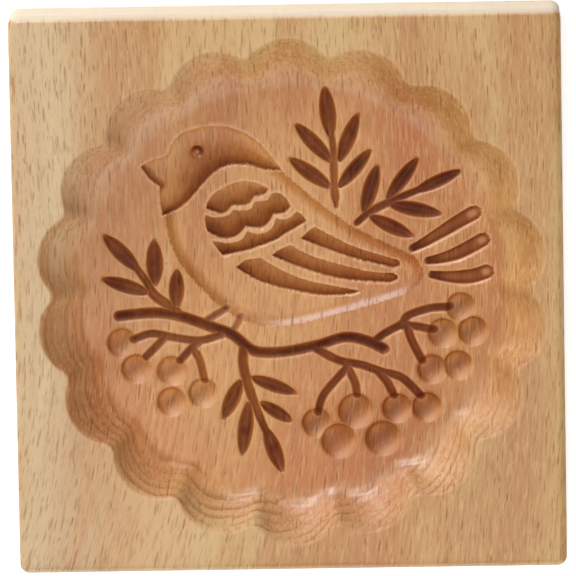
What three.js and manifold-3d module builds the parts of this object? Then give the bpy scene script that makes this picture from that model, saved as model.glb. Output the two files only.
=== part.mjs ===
// Cookie mould: one block of beech. Its face has a lobed basin with a coved wall, and the floor of the
// basin is carved with a bird above a twig of narrow leaves and round berries. Dough is pressed into it.
// Millimetres, +Z up. The mould lies on its back with the carving up, its top edge towards +Y, and the
// origin is the middle of the back.
import * as THREE from "three";
import { mergeVertices } from "three/addons/utils/BufferGeometryUtils.js";
import Module from "manifold-3d";

// The block
const BLOCK_WIDTH = 150;
const BLOCK_LENGTH = 154;
const BLOCK_THICKNESS = 20;
const CORNER_RADIUS = 2.6;
const EDGE_ROUND = 2;

// The basin: the rim is a ring of equal round lobes. The wall is steepest about a third of the way in, and
// coves out into a nearly round floor. A turn power of 1 puts the steepest line halfway, a lower one nearer
// the rim.
const BASIN_DEPTH = 9;
const RIM_RADIUS = 70.2;
const LOBE_COUNT = 18;
const LOBE_RADIUS = 12.9;
const CUSP_EASE_DEG = 1.3;
const WALL_WIDTH = 13.5;
const WALL_TURN_POWER = 0.7;
const FOOT_LOBE_DEPTH = 1.6;
const BASIN_OFF_CENTRE = 0.8;

// The figure: depths are below the floor of the basin, or below the bird's body for what lies in it
const DRAWN_FLOOR_RADIUS = 56.7;
const FIGURE_OFF_CENTRE = 1.3;
const BODY_DEPTH = 1.2;
const BODY_COVE_WIDTH = 3;
const CROWN_DEPTH = 1;
const COLLAR_DEPTH = 3.6;
const HEAD_WALL_WIDTH = 0.7;
const EYE_RADIUS = 1.6;
const EYE_PUPIL_RADIUS = 0.6;
const EYE_DEPTH = 2.8;
const COVERT_TOP_DEPTH = 0.2;
const FEATHER_TOP_DEPTH = 0.6;
const FEATHER_FOOT_DEPTH = 1.9;
const FEATHER_WALL_WIDTH = 0.45;
const TAIL_DEPTH = 1.7;
const TAIL_FLAT_SHARE = 0.6;
const TAIL_ROOT_DEPTH_SHARE = 0.7;
const TAIL_ROOT_LENGTH_SHARE = 0.12;
const TAIL_TIP_DEPTH_SHARE = 0.3;
const TAIL_TIP_LENGTH_SHARE = 0.35;
const TAIL_ROUND_SHARE = 0.16;
const LEAF_WIDTH = 3.9;
const LEAF_DEPTH = 2.1;
const MIDRIB_DEPTH = 1.3;
const LEAF_BED_SHARE = 0.42;
const LEAF_FULLNESS_POWER = 0.6;
const LEAF_POINT_SHARE = 0.1;
const STEM_DEPTH = 1.6;
const BRANCH_WIDTH = 3;
const TWIG_WIDTH = 2.3;
const TWIG_DEPTH = 1.7;
const GROOVE_FLAT_SHARE = 0.35;
const BERRY_RADIUS = 4.1;
const LARGE_BERRY_RADIUS = 4.9;
const BERRY_DEPTH = 2.5;

// How finely the curves are stepped
const CORNER_STEPS = 3;
const LOBE_STEPS = 8;
const WALL_STEPS = 7;
const BERRY_SIDES = 16;
const BERRY_RINGS = 4;
const LEAF_STEPS = 8;
const TAIL_STEPS = 10;
const OUTLINE_STEP = 1.3;
const TWIG_STEP = 2.2;

// Every cutter stands this far above the surface that it cuts, so that no skin is left
const CUTTER_RISE = 0.5;
const MERGE_TOLERANCE = 1e-4;

const floorRadius = RIM_RADIUS - WALL_WIDTH;
const floorHeight = BLOCK_THICKNESS - BASIN_DEPTH;
const figureScale = floorRadius / DRAWN_FLOOR_RADIUS;

// Outlines, in millimetres in the bird's frame. A stroke is a smooth line through its points,
// and strokes meet at corners. A hollow has shallow strokes, where its bed starts, and deep strokes,
// where its bed ends against a steep wall.
const body = [
  [[-2.9, 32.4], [5.7, 24.8], [16.2, 16.8], [27.8, 10.8], [33.4, 7.7], [35.4, 3], [31.8, -1.4], [24.9, -4.1],
    [7, -8.8], [-5.3, -10.8], [-14.9, -8.4], [-22.2, -3.1], [-30.2, 6.2], [-33.6, 13], [-34.9, 20.1]],
  [[-34.9, 20.1], [-33, 25], [-27.5, 33], [-20, 37.6], [-11, 37.6], [-2.9, 32.4]],
];
const head = {
  shallow: [
    [[-35.5, 20.4], [-36.1, 24.5], [-36.2, 28.6]],
    [[-36.2, 28.6], [-38.9, 30.7], [-41.3, 34.1]],
    [[-41.3, 34.1], [-38.4, 35.7], [-34.2, 37], [-33.2, 39.2]],
    [[-33.2, 39.2], [-31.2, 42.1], [-27.1, 44.2], [-20.7, 45.1], [-15.3, 44.1], [-9, 40.3], [-2.5, 32.4]],
  ],
  deep: [
    [[-2.5, 32.4], [-6.4, 32.4], [-11.4, 33.9], [-15.5, 34.2], [-19.1, 33.3], [-22.4, 31.1], [-28, 24.8],
      [-31.4, 22.1], [-35.5, 20.4]],
  ],
};
const eyeCentre = [-25.8, 37.8];
const coverts = [
  {
    shallow: [
      [[-23.7, 22.2], [-22.8, 24.6], [-20.6, 26.8], [-15.7, 29.1], [-12.7, 29.5], [-9.6, 28.9], [-6.5, 27.3]],
    ],
    deep: [
      [[-6.5, 27.3], [-7.3, 26], [-8.8, 25.4], [-10.5, 25.2]],
      [[-10.5, 25.2], [-11.3, 24], [-12.1, 23.1], [-13.9, 22.8], [-16, 23]],
      [[-16, 23], [-17.2, 22], [-18.1, 21], [-19.8, 20.7], [-23.7, 22.2]],
    ],
  },
  {
    shallow: [
      [[-23.4, 15.8], [-24, 18.6], [-23.8, 20.5]],
      [[-23.8, 20.5], [-22, 19.7], [-19.6, 19.7], [-17.6, 20.2], [-16.3, 21.6]],
      [[-16.3, 21.6], [-14.1, 21.4], [-11.5, 21.8], [-10.4, 23.7]],
      [[-10.4, 23.7], [-8.6, 23.9], [-6.7, 24.3], [-5.7, 26]],
      [[-5.7, 26], [-3.6, 26.1], [-1.6, 24.4], [-0.5, 22.3]],
    ],
    deep: [
      [[-0.5, 22.3], [-1.3, 21.3], [-2.8, 20.4], [-5.2, 20.3]],
      [[-5.2, 20.3], [-6.8, 17.7], [-8.3, 16.7], [-10.5, 16.6], [-12.9, 17]],
      [[-12.9, 17], [-13.8, 15.7], [-15.4, 14.3], [-17.3, 13.8], [-19.9, 14], [-23.4, 15.8]],
    ],
  },
  {
    shallow: [
      [[-19.4, 9.1], [-20.9, 11.1], [-22.2, 13.2]],
      [[-22.2, 13.2], [-19.7, 12.7], [-17.4, 12.5], [-14.5, 13.1], [-13.2, 14.5], [-12.4, 15.8]],
      [[-12.4, 15.8], [-10.1, 14.9], [-7.5, 15.2], [-5.5, 16.8], [-4.5, 19.2]],
      [[-4.5, 19.2], [-2.6, 18.7], [-0.4, 19.4], [0.9, 20.9]],
      [[0.9, 20.9], [2.6, 20], [3.8, 18.2]],
    ],
    deep: [[[3.8, 18.2], [-1.8, 14.9], [-4.9, 13.1], [-11.1, 10.8], [-14.3, 10], [-19.4, 9.1]]],
  },
];
const flightFeathers = [
  {
    shallow: [[[-15.7, 5.7], [-13, 7.6], [-9.1, 8.2]], [[-9.1, 8.2], [-3, 4.5], [3.9, 1.7], [18.5, -1.5]]],
    deep: [[[18.5, -1.5], [12.3, -2.4], [5.5, -2.1], [-7.9, 1.2], [-15.7, 5.7]]],
  },
  {
    shallow: [[[-5.9, 8.8], [-3.6, 10.5], [-0.8, 11.6]], [[-0.8, 11.6], [6, 8.1], [19, 4.3], [25.5, 3.4]]],
    deep: [[[25.5, 3.4], [28.4, 2.1], [25.8, 0.8]], [[25.8, 0.8], [14, 1.9], [4, 4.7], [-5.9, 8.8]]],
  },
  {
    shallow: [[[2.2, 13.4], [3.9, 15.1], [5.9, 16.6]], [[5.9, 16.6], [15.8, 11.3], [27.5, 7.3]]],
    deep: [[[27.5, 7.3], [28.6, 6], [27.4, 4.9]], [[27.4, 4.9], [15.8, 8], [2.2, 13.4]]],
  },
];

// Tail feathers: a line from the root to the tip, and the width at the root, in the middle and at the tip
const tailFeathers = [
  { line: [[32.6, 10.4], [36.1, 12.1], [41, 15], [46, 18], [51.4, 21]], widths: [1.7, 3.4, 4] },
  { line: [[36.8, 6.9], [40.4, 7.5], [44.2, 8.6], [48.1, 10.4], [53.5, 13.4]], widths: [1.7, 3.6, 3.9] },
  { line: [[37.8, 3], [41.9, 2.4], [45.8, 2.2], [49.6, 2.6], [54.6, 4.3]], widths: [1.8, 3.7, 4] },
];

// Sprigs: a stem with its widths, and leaves from tip to base, each with its share of LEAF_WIDTH
const sprigs = [
  {
    stem: [[12, 22.3], [11.6, 26.9], [11.5, 32.4], [11.5, 37.9], [11, 42]],
    widths: [0.6, 2.6, 2.5, 2.2, 2.3, 2.4, 2.4, 2.2, 2, 1.8],
    leaves: [
      [9.3, 55.3, 10.8, 41.4, 1.1],
      [1.4, 45.1, 11, 34.6, 1],
      [18.1, 47.5, 13, 34.7, 1],
      [-0.3, 35.6, 10.6, 27.5, 1],
      [21.4, 37.6, 12.8, 27.6, 0.95],
    ],
  },
  {
    stem: [[17.6, 17.7], [21.2, 20.6], [26.7, 23.3], [34.6, 26.6]],
    widths: [1.8, 2.4, 2.2, 1.9],
    leaves: [
      [23.3, 33.3, 19.5, 20.5, 1.05],
      [34.2, 35.1, 26, 24.2, 0.95],
      [45.9, 31.6, 33.6, 26.1, 0.85],
      [40.3, 19.8, 26.6, 22.6, 1],
      [32.5, 13.8, 21.2, 19.4, 0.95],
    ],
  },
  {
    stem: [[-42.9, 6], [-40.1, 2], [-38.4, -1.3], [-34.5, -4.3], [-32, -6.2]],
    widths: [1.8, 2.2, 2.8, 2.8, 2.4],
    leaves: [
      [-51.6, 15.2, -42.4, 5.5, 1.05],
      [-52.2, 3.2, -39.7, -0.9, 0.95],
      [-38, 13.6, -37.9, 1.2, 1.15],
      [-31.9, 5.4, -32.3, -5.3, 1.05],
    ],
  },
  {
    stem: [[-14, -17.1], [-14.2, -21], [-13, -26.8], [-10.7, -33.8], [-8.2, -40.2]],
    widths: [2.9, 2.9, 2.7, 2.3, 1.9],
    leaves: [
      [-19.8, -35.9, -15, -25.5, 1.05],
      [-14.9, -46.1, -12.9, -31.7, 1.05],
      [-4.1, -51, -8.4, -39, 1.05],
      [-0.2, -29.3, -12, -24.8, 0.9],
      [-1.4, -37.1, -9.5, -31.8, 0.85],
    ],
  },
];

// The branch, its side branches and the bird's two legs
const branch = [
  [-48, -7.1], [-38.1, -6.4], [-30.8, -7.6], [-23.1, -10.4], [-17.2, -12.7], [-12.3, -16.8], [-8.5, -17.9],
  [-1.4, -17.6], [6.9, -15.9], [13.8, -14], [19.5, -15], [24.4, -17.4],
];
const twigs = [
  [[-44.3, -13.8], [-39.1, -12.2], [-32.8, -13.4], [-26, -14.3], [-20, -12.8]],
  [[-35.6, -13.3], [-38.3, -16.1], [-40.8, -18.6]],
  [[-25.6, -14.2], [-28.7, -16.8], [-31.6, -19.9]],
  [[-28.2, -16.5], [-26.2, -19.4], [-24.9, -25.5]],
  [[5.2, -16.6], [11.7, -20.3], [18.3, -21.8], [23.7, -23.8], [29.2, -25.5], [34.4, -30.7]],
  [[15.2, -21.4], [11.4, -25.5], [7.5, -30.2], [6, -35]],
  [[14, -21.6], [16.3, -26.5], [16.8, -30.2]],
  [[22.6, -23.4], [25.3, -26.9], [27, -30.6]],
  [[21.6, -15.4], [24.7, -13.1], [29.4, -10.5], [31.1, -8.3], [37.2, -6.3], [42.6, -6]],
  [[29.4, -11], [33.5, -11.3], [38.2, -12.4]],
  [[31, -10.9], [31.8, -14.5], [34.9, -21]],
  [[-18.6, -5.6], [-21.4, -7.2], [-24.3, -8.9]],
  [[-14.7, -7.8], [-16, -10.4], [-17.2, -12.1]],
];
const berries = [
  [-47.3, -14.6], [-43.6, -21.9], [-33.8, -22.6], [-34, -31.2], [-25.4, -28.9], [5.7, -37.7], [27.7, -33.9],
  [35.9, -33.7], [45.6, -6.1], [40.6, -13.2], [48.8, -12.8], [37.5, -23.2], [44.6, -22.2],
];
const largeBerries = [[16.4, -34.5], [11.6, -42.8], [23.7, -42.2]];

const wasm = await Module();
wasm.setup();

// A closed geometry as a solid that can be joined and cut.
function solidOf(geometry) {
  const bare = geometry.clone();
  bare.deleteAttribute("normal");
  bare.deleteAttribute("uv");
  const merged = mergeVertices(bare, MERGE_TOLERANCE);
  return new wasm.Manifold(new wasm.Mesh({
    numProp: 3,
    vertProperties: merged.attributes.position.array,
    triVerts: new Uint32Array(merged.index.array),
  }));
}

// A solid as a geometry with flat faces.
function geometryOf(solid) {
  const mesh = solid.getMesh();
  const geometry = new THREE.BufferGeometry();
  geometry.setAttribute("position", new THREE.BufferAttribute(mesh.vertProperties, mesh.numProp));
  geometry.setIndex(new THREE.BufferAttribute(mesh.triVerts, 1));
  const flat = geometry.toNonIndexed();
  flat.computeVertexNormals();
  return flat;
}

function signedVolume(points, triangles) {
  let sum = 0;
  for (const [a, b, c] of triangles) {
    sum += points[a].dot(points[b].clone().cross(points[c]));
  }
  return sum;
}

// A closed solid through rings of equally many points. Both ends are capped as the plan, a flat drawing of
// the first ring, divides.
function loft(rings, plan) {
  const points = rings.flat();
  const count = rings[0].length;
  const triangles = [];
  for (let r = 0; r + 1 < rings.length; r++) {
    for (let i = 0; i < count; i++) {
      const a = r * count + i;
      const b = r * count + ((i + 1) % count);
      triangles.push([a, a + count, b + count], [a, b + count, b]);
    }
  }
  const last = (rings.length - 1) * count;
  const turned = THREE.ShapeUtils.isClockWise(plan);
  for (const [a, b, c] of THREE.ShapeUtils.triangulateShape(plan, [])) {
    const [p, q] = turned ? [c, b] : [b, c];
    triangles.push([a, p, q], [last + a, last + q, last + p]);
  }
  const outward = signedVolume(points, triangles) > 0;
  const order = outward ? triangles : triangles.map(([a, b, c]) => [a, c, b]);
  const geometry = new THREE.BufferGeometry().setFromPoints(points);
  geometry.setIndex(order.flat());
  return solidOf(geometry);
}

const flatPlan = (ring) => ring.map((p) => new THREE.Vector2(p.x, p.y));

// A point of the figure, scaled with the floor and set out from the middle of the face.
function onFloor([x, y]) {
  return new THREE.Vector2(x * figureScale + FIGURE_OFF_CENTRE, y * figureScale);
}

// A smooth line through points of the figure.
const lineThrough = (points) => new THREE.SplineCurve(points.map(onFloor));

// The points along a stroke, without its last one, where the next stroke starts.
function stepStroke(points) {
  const line = lineThrough(points);
  const steps = Math.max(2, Math.round(line.getLength() / OUTLINE_STEP));
  return line.getSpacedPoints(steps).slice(0, -1);
}

// The way inwards at each point of a closed outline, as a unit vector.
function inwardAt(outline) {
  const clockwise = THREE.ShapeUtils.isClockWise(outline);
  return outline.map((point, i) => {
    const before = outline[(i + outline.length - 1) % outline.length];
    const after = outline[(i + 1) % outline.length];
    const along = after.clone().sub(before).normalize();
    return clockwise ? new THREE.Vector2(along.y, -along.x) : new THREE.Vector2(-along.y, along.x);
  });
}

// A cutter for a hollow with a sloping wall: outline at the top, and below it the bed, drawn in by
// insets[i] and sunk to depths[i] under a surface at the given height.
function hollowCutter(outline, insets, depths, surface) {
  const inward = inwardAt(outline);
  const ringAt = (heightAt, insetAt) =>
    outline.map((p, i) => {
      const inset = insetAt(i);
      return new THREE.Vector3(p.x + inward[i].x * inset, p.y + inward[i].y * inset, heightAt(i));
    });
  const top = ringAt(() => surface + CUTTER_RISE, () => 0);
  const lip = ringAt(() => surface, () => 0);
  const bed = ringAt((i) => surface - depths[i], (i) => insets[i]);
  return loft([top, lip, bed], flatPlan(top));
}

// A hollow whose bed slopes from its shallow strokes down to its deep ones.
function slopingHollow(strokes, shallowDepth, deepDepth, wallWidth, surface) {
  const outline = [];
  const depths = [];
  const insets = [];
  for (const [list, depth] of [[strokes.shallow, shallowDepth], [strokes.deep, deepDepth]]) {
    for (const stroke of list) {
      stepStroke(stroke).forEach((point, i) => {
        outline.push(point);
        depths.push(depth);
        insets.push(i === 0 ? wallWidth / 2 : wallWidth);
      });
    }
  }
  return hollowCutter(outline, insets, depths, surface);
}

// A cutter swept along a line on the floor. sectionAt gives the half section from the middle outwards, as
// [share of the half width, depth] pairs, and halfWidthAt the half width.
function sweptCutter(line, steps, halfWidthAt, sectionAt, surface) {
  const rings = [];
  let plan = null;
  for (let i = 0; i <= steps; i++) {
    const share = i / steps;
    const at = line.getPointAt(share);
    const along = line.getTangentAt(share);
    const half = halfWidthAt(share);
    const right = sectionAt(share).map(([across, depth]) => [across * half, surface - depth]);
    const rim = [[half, surface + CUTTER_RISE]];
    const outer = [...right, ...rim].filter(([across]) => across > 0);
    const left = outer.reverse().map(([a, z]) => [-a, z]);
    const section = [...left, ...right, ...rim];
    plan ??= section.map(([a, z]) => new THREE.Vector2(a, z));
    rings.push(section.map(([a, z]) => new THREE.Vector3(at.x - along.y * a, at.y + along.x * a, z)));
  }
  return loft(rings, plan);
}

// The value at a share of the way along a list of evenly spaced values.
function valueAlong(values, share) {
  const place = Math.min(share, 1) * (values.length - 1);
  const index = Math.min(Math.floor(place), values.length - 2);
  return THREE.MathUtils.lerp(values[index], values[index + 1], place - index);
}

// The block of wood, with its edges and corners eased.
function makeBlock() {
  const halfWidth = BLOCK_WIDTH / 2;
  const halfLength = BLOCK_LENGTH / 2;
  const radius = CORNER_RADIUS;
  const plan = new THREE.Shape();
  plan.moveTo(-halfWidth + radius, -halfLength);
  plan.absarc(halfWidth - radius, -halfLength + radius, radius, -Math.PI / 2, 0);
  plan.absarc(halfWidth - radius, halfLength - radius, radius, 0, Math.PI / 2);
  plan.absarc(-halfWidth + radius, halfLength - radius, radius, Math.PI / 2, Math.PI);
  plan.absarc(-halfWidth + radius, -halfLength + radius, radius, Math.PI, 1.5 * Math.PI);
  const block = new THREE.ExtrudeGeometry(plan, {
    depth: BLOCK_THICKNESS - 2 * EDGE_ROUND,
    curveSegments: CORNER_STEPS,
    bevelThickness: EDGE_ROUND,
    bevelSize: EDGE_ROUND,
    bevelOffset: -EDGE_ROUND,
    bevelSegments: CORNER_STEPS,
  });
  block.translate(0, 0, EDGE_ROUND);
  return solidOf(block);
}

// The distance of the rim from the middle of the basin at an angle from the middle of a lobe.
function lobeReach(angle) {
  const centre = RIM_RADIUS - LOBE_RADIUS;
  const pitch = (2 * Math.PI) / LOBE_COUNT;
  const off = angle - pitch * Math.round(angle / pitch);
  return centre * Math.cos(off) + Math.sqrt(LOBE_RADIUS ** 2 - (centre * Math.sin(off)) ** 2);
}

// The same, with the points between the lobes eased.
function rimReach(angle) {
  const ease = THREE.MathUtils.degToRad(CUSP_EASE_DEG);
  return (lobeReach(angle - ease) + lobeReach(angle) + lobeReach(angle + ease)) / 3;
}

// The basin: rings of the lobed rim, going down and inwards to the floor.
function makeBasin() {
  const steps = LOBE_COUNT * LOBE_STEPS;
  const cusp = lobeReach(Math.PI / LOBE_COUNT);
  const footShare = FOOT_LOBE_DEPTH / (RIM_RADIUS - cusp);
  const ringAt = (inShare, height) => {
    const ring = [];
    for (let i = 0; i < steps; i++) {
      const angle = (2 * Math.PI * i) / steps;
      const rim = rimReach(angle);
      const foot = floorRadius - (RIM_RADIUS - rim) * footShare;
      const reach = THREE.MathUtils.lerp(rim, foot, inShare);
      const x = BASIN_OFF_CENTRE - Math.sin(angle) * reach;
      ring.push(new THREE.Vector3(x, Math.cos(angle) * reach, height));
    }
    return ring;
  };
  const rings = [ringAt(0, BLOCK_THICKNESS + CUTTER_RISE)];
  for (let i = 0; i <= WALL_STEPS; i++) {
    const inShare = i / WALL_STEPS;
    const downShare = (1 - Math.cos(Math.PI * inShare ** WALL_TURN_POWER)) / 2;
    rings.push(ringAt(inShare, BLOCK_THICKNESS - BASIN_DEPTH * downShare));
  }
  return loft(rings, flatPlan(rings[0]));
}

// The shallow bed of the bird's body, with its coved edge.
function makeBody() {
  const outline = body.flatMap(stepStroke);
  const insets = outline.map(() => BODY_COVE_WIDTH);
  const depths = outline.map(() => BODY_DEPTH);
  return hollowCutter(outline, insets, depths, floorHeight);
}

// The eye: a ring groove round a standing pupil.
function makeEye() {
  const profile = [
    [EYE_PUPIL_RADIUS, CUTTER_RISE],
    [EYE_PUPIL_RADIUS, -EYE_DEPTH + (EYE_RADIUS - EYE_PUPIL_RADIUS) / 2],
    [(EYE_PUPIL_RADIUS + EYE_RADIUS) / 2, -EYE_DEPTH],
    [EYE_RADIUS, -EYE_DEPTH + (EYE_RADIUS - EYE_PUPIL_RADIUS) / 2],
    [EYE_RADIUS, CUTTER_RISE],
    [EYE_PUPIL_RADIUS, CUTTER_RISE],
  ].map(([radius, height]) => new THREE.Vector2(radius, height));
  const at = onFloor(eyeCentre);
  const eye = new THREE.LatheGeometry(profile, BERRY_SIDES);
  eye.rotateX(Math.PI / 2);
  eye.translate(at.x, at.y, floorHeight);
  return solidOf(eye);
}

// The bird: head, eye, body, wing coverts, flight feathers and tail.
function makeBird() {
  const bodyHeight = floorHeight - BODY_DEPTH;
  const parts = [
    makeBody(),
    slopingHollow(head, CROWN_DEPTH, COLLAR_DEPTH, HEAD_WALL_WIDTH, floorHeight),
    makeEye(),
  ];
  for (const [hollows, topDepth] of [[coverts, COVERT_TOP_DEPTH], [flightFeathers, FEATHER_TOP_DEPTH]]) {
    for (const hollow of hollows) {
      parts.push(slopingHollow(hollow, topDepth, FEATHER_FOOT_DEPTH, FEATHER_WALL_WIDTH, bodyHeight));
    }
  }
  for (const feather of tailFeathers) {
    parts.push(makeTailFeather(feather));
  }
  return parts;
}

// A tail feather: a trough with a rounded tip, which sinks in from both ends.
function makeTailFeather({ line, widths }) {
  const halfWidthAt = (share) => {
    const intoTip = Math.max(0, (share - 1 + TAIL_ROUND_SHARE) / TAIL_ROUND_SHARE);
    const roundness = Math.sqrt(Math.max(TAIL_ROUND_SHARE ** 2, 1 - intoTip ** 2));
    return (valueAlong(widths, share) / 2) * roundness;
  };
  const sectionAt = (share) => {
    const fromRoot = Math.min(1, share / TAIL_ROOT_LENGTH_SHARE);
    const fromTip = Math.min(1, (1 - share) / TAIL_TIP_LENGTH_SHARE);
    const rootDepth = THREE.MathUtils.lerp(TAIL_ROOT_DEPTH_SHARE, 1, fromRoot);
    const tipDepth = THREE.MathUtils.lerp(TAIL_TIP_DEPTH_SHARE, 1, fromTip);
    return [[TAIL_FLAT_SHARE, TAIL_DEPTH * Math.min(rootDepth, tipDepth)], [1, 0]];
  };
  return sweptCutter(lineThrough(line), TAIL_STEPS, halfWidthAt, sectionAt, floorHeight);
}

// A leaf: two grooves side by side with the midrib standing between them, narrowing to both ends.
function makeLeaf([tipX, tipY, baseX, baseY, widthShare]) {
  const line = new THREE.LineCurve(onFloor([tipX, tipY]), onFloor([baseX, baseY]));
  const swell = (share) => {
    const fullness = Math.max(0, Math.sin(Math.PI * share)) ** LEAF_FULLNESS_POWER;
    return Math.max(LEAF_POINT_SHARE, fullness);
  };
  const halfWidthAt = (share) => (LEAF_WIDTH * widthShare * swell(share)) / 2;
  const sectionAt = (share) => {
    const sink = Math.sqrt(swell(share));
    return [[0, MIDRIB_DEPTH * sink], [LEAF_BED_SHARE, LEAF_DEPTH * sink], [1, 0]];
  };
  return sweptCutter(line, LEAF_STEPS, halfWidthAt, sectionAt, floorHeight);
}

// A groove with sloping sides for a stem, branch or twig.
function makeGroove(points, widthAt, depth) {
  const line = lineThrough(points);
  const steps = Math.max(3, Math.round(line.getLength() / TWIG_STEP));
  const sectionAt = () => [[GROOVE_FLAT_SHARE, depth], [1, 0]];
  return sweptCutter(line, steps, (share) => widthAt(share) / 2, sectionAt, floorHeight);
}

// A berry: a round dish, the cap of a ball.
function makeBerry([x, y], radius) {
  const ball = (radius ** 2 + BERRY_DEPTH ** 2) / (2 * BERRY_DEPTH);
  const openAngle = Math.asin(radius / ball);
  const profile = [];
  for (let i = 0; i <= BERRY_RINGS; i++) {
    const turn = (openAngle * i) / BERRY_RINGS;
    profile.push(new THREE.Vector2(ball * Math.sin(turn), ball - BERRY_DEPTH - ball * Math.cos(turn)));
  }
  profile.push(new THREE.Vector2(radius, CUTTER_RISE), new THREE.Vector2(0, CUTTER_RISE));
  const at = onFloor([x, y]);
  const dish = new THREE.LatheGeometry(profile, BERRY_SIDES);
  dish.rotateX(Math.PI / 2);
  dish.translate(at.x, at.y, floorHeight);
  return solidOf(dish);
}

// The twig under the bird and the sprigs of leaves round it.
function makeFoliage() {
  const parts = [makeGroove(branch, () => BRANCH_WIDTH, TWIG_DEPTH)];
  for (const twig of twigs) {
    parts.push(makeGroove(twig, () => TWIG_WIDTH, TWIG_DEPTH));
  }
  for (const sprig of sprigs) {
    parts.push(makeGroove(sprig.stem, (share) => valueAlong(sprig.widths, share), STEM_DEPTH));
    parts.push(...sprig.leaves.map(makeLeaf));
  }
  parts.push(...berries.map((place) => makeBerry(place, BERRY_RADIUS)));
  parts.push(...largeBerries.map((place) => makeBerry(place, LARGE_BERRY_RADIUS)));
  return parts;
}

const carving = [makeBasin(), ...makeBird(), ...makeFoliage()].reduce((all, part) => all.add(part));

const beech = new THREE.MeshStandardMaterial({ color: 0xc99a68, roughness: 0.5, metalness: 0 });
const mould = new THREE.Mesh(geometryOf(makeBlock().subtract(carving)), beech);
mould.name = "mould_block";

const cookieMould = new THREE.Group();
cookieMould.add(mould);
export default cookieMould;
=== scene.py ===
"""A carved cookie mould of oiled beech, laid out as an add-on.

The blank is a fine mesh whose points lie along the carving's arrises. The bird is cut into it with NumPy,
and Geometry Nodes cut the lobed basin, the berries, the leaves and the twigs.
"""
import math

import bpy
import numpy as np
from mathutils import Matrix, Vector
from mathutils.geometry import delaunay_2d_cdt


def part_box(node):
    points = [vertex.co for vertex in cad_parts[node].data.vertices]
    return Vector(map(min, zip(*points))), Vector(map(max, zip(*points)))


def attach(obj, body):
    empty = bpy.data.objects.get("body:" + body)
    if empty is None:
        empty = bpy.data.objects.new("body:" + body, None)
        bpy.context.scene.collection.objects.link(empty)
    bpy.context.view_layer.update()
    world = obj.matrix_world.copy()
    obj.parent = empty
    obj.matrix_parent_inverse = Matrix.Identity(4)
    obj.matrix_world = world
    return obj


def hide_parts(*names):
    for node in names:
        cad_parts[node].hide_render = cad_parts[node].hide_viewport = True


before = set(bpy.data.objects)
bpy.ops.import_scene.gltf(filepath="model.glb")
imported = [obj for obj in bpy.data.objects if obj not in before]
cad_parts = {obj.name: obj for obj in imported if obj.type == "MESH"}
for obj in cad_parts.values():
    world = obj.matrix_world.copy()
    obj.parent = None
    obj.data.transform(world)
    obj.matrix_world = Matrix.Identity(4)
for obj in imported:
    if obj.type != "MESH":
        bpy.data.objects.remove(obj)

bl_info = {
    "name": "Carved Cookie Mould",
    "version": (1, 0, 0),
    "blender": (4, 5, 0),
    "location": "3D View > Sidebar > Mould",
    "description": "Carves a beech cookie mould and sets a plain stage for it",
    "category": "Object",
}

MM = 0.001
NODE = "mould_block"
LOW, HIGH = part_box(NODE)
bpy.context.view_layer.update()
FACE_HEIGHT = HIGH.z

# The figure, in millimetres in the bird's frame. A stroke is a smooth line through its points, and
# strokes meet at corners. A hollow's bed starts at its shallow strokes and ends at its deep ones.
BODY = [
    [(-2.9, 32.4), (5.7, 24.8), (16.2, 16.8), (27.8, 10.8), (33.4, 7.7), (35.4, 3), (31.8, -1.4),
     (24.9, -4.1), (7, -8.8), (-5.3, -10.8), (-14.9, -8.4), (-22.2, -3.1), (-30.2, 6.2), (-33.6, 13),
     (-34.9, 20.1)],
    [(-34.9, 20.1), (-33, 25), (-27.5, 33), (-20, 37.6), (-11, 37.6), (-2.9, 32.4)],
]
HEAD = {
    "shallow": [
        [(-35.5, 20.4), (-36.1, 24.5), (-36.2, 28.6)],
        [(-36.2, 28.6), (-38.9, 30.7), (-41.3, 34.1)],
        [(-41.3, 34.1), (-38.4, 35.7), (-34.2, 37), (-33.2, 39.2)],
        [(-33.2, 39.2), (-31.2, 42.1), (-27.1, 44.2), (-20.7, 45.1), (-15.3, 44.1), (-9, 40.3),
         (-2.5, 32.4)],
    ],
    "deep": [
        [(-2.5, 32.4), (-6.4, 32.4), (-11.4, 33.9), (-15.5, 34.2), (-19.1, 33.3), (-22.4, 31.1), (-28, 24.8),
         (-31.4, 22.1), (-35.5, 20.4)],
    ],
}
EYE_CENTRE = (-25.8, 37.8)
EYE_HALF_RING = 0.62
EYE_LIGHT_SIDE = (-0.35, -0.94)
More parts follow.
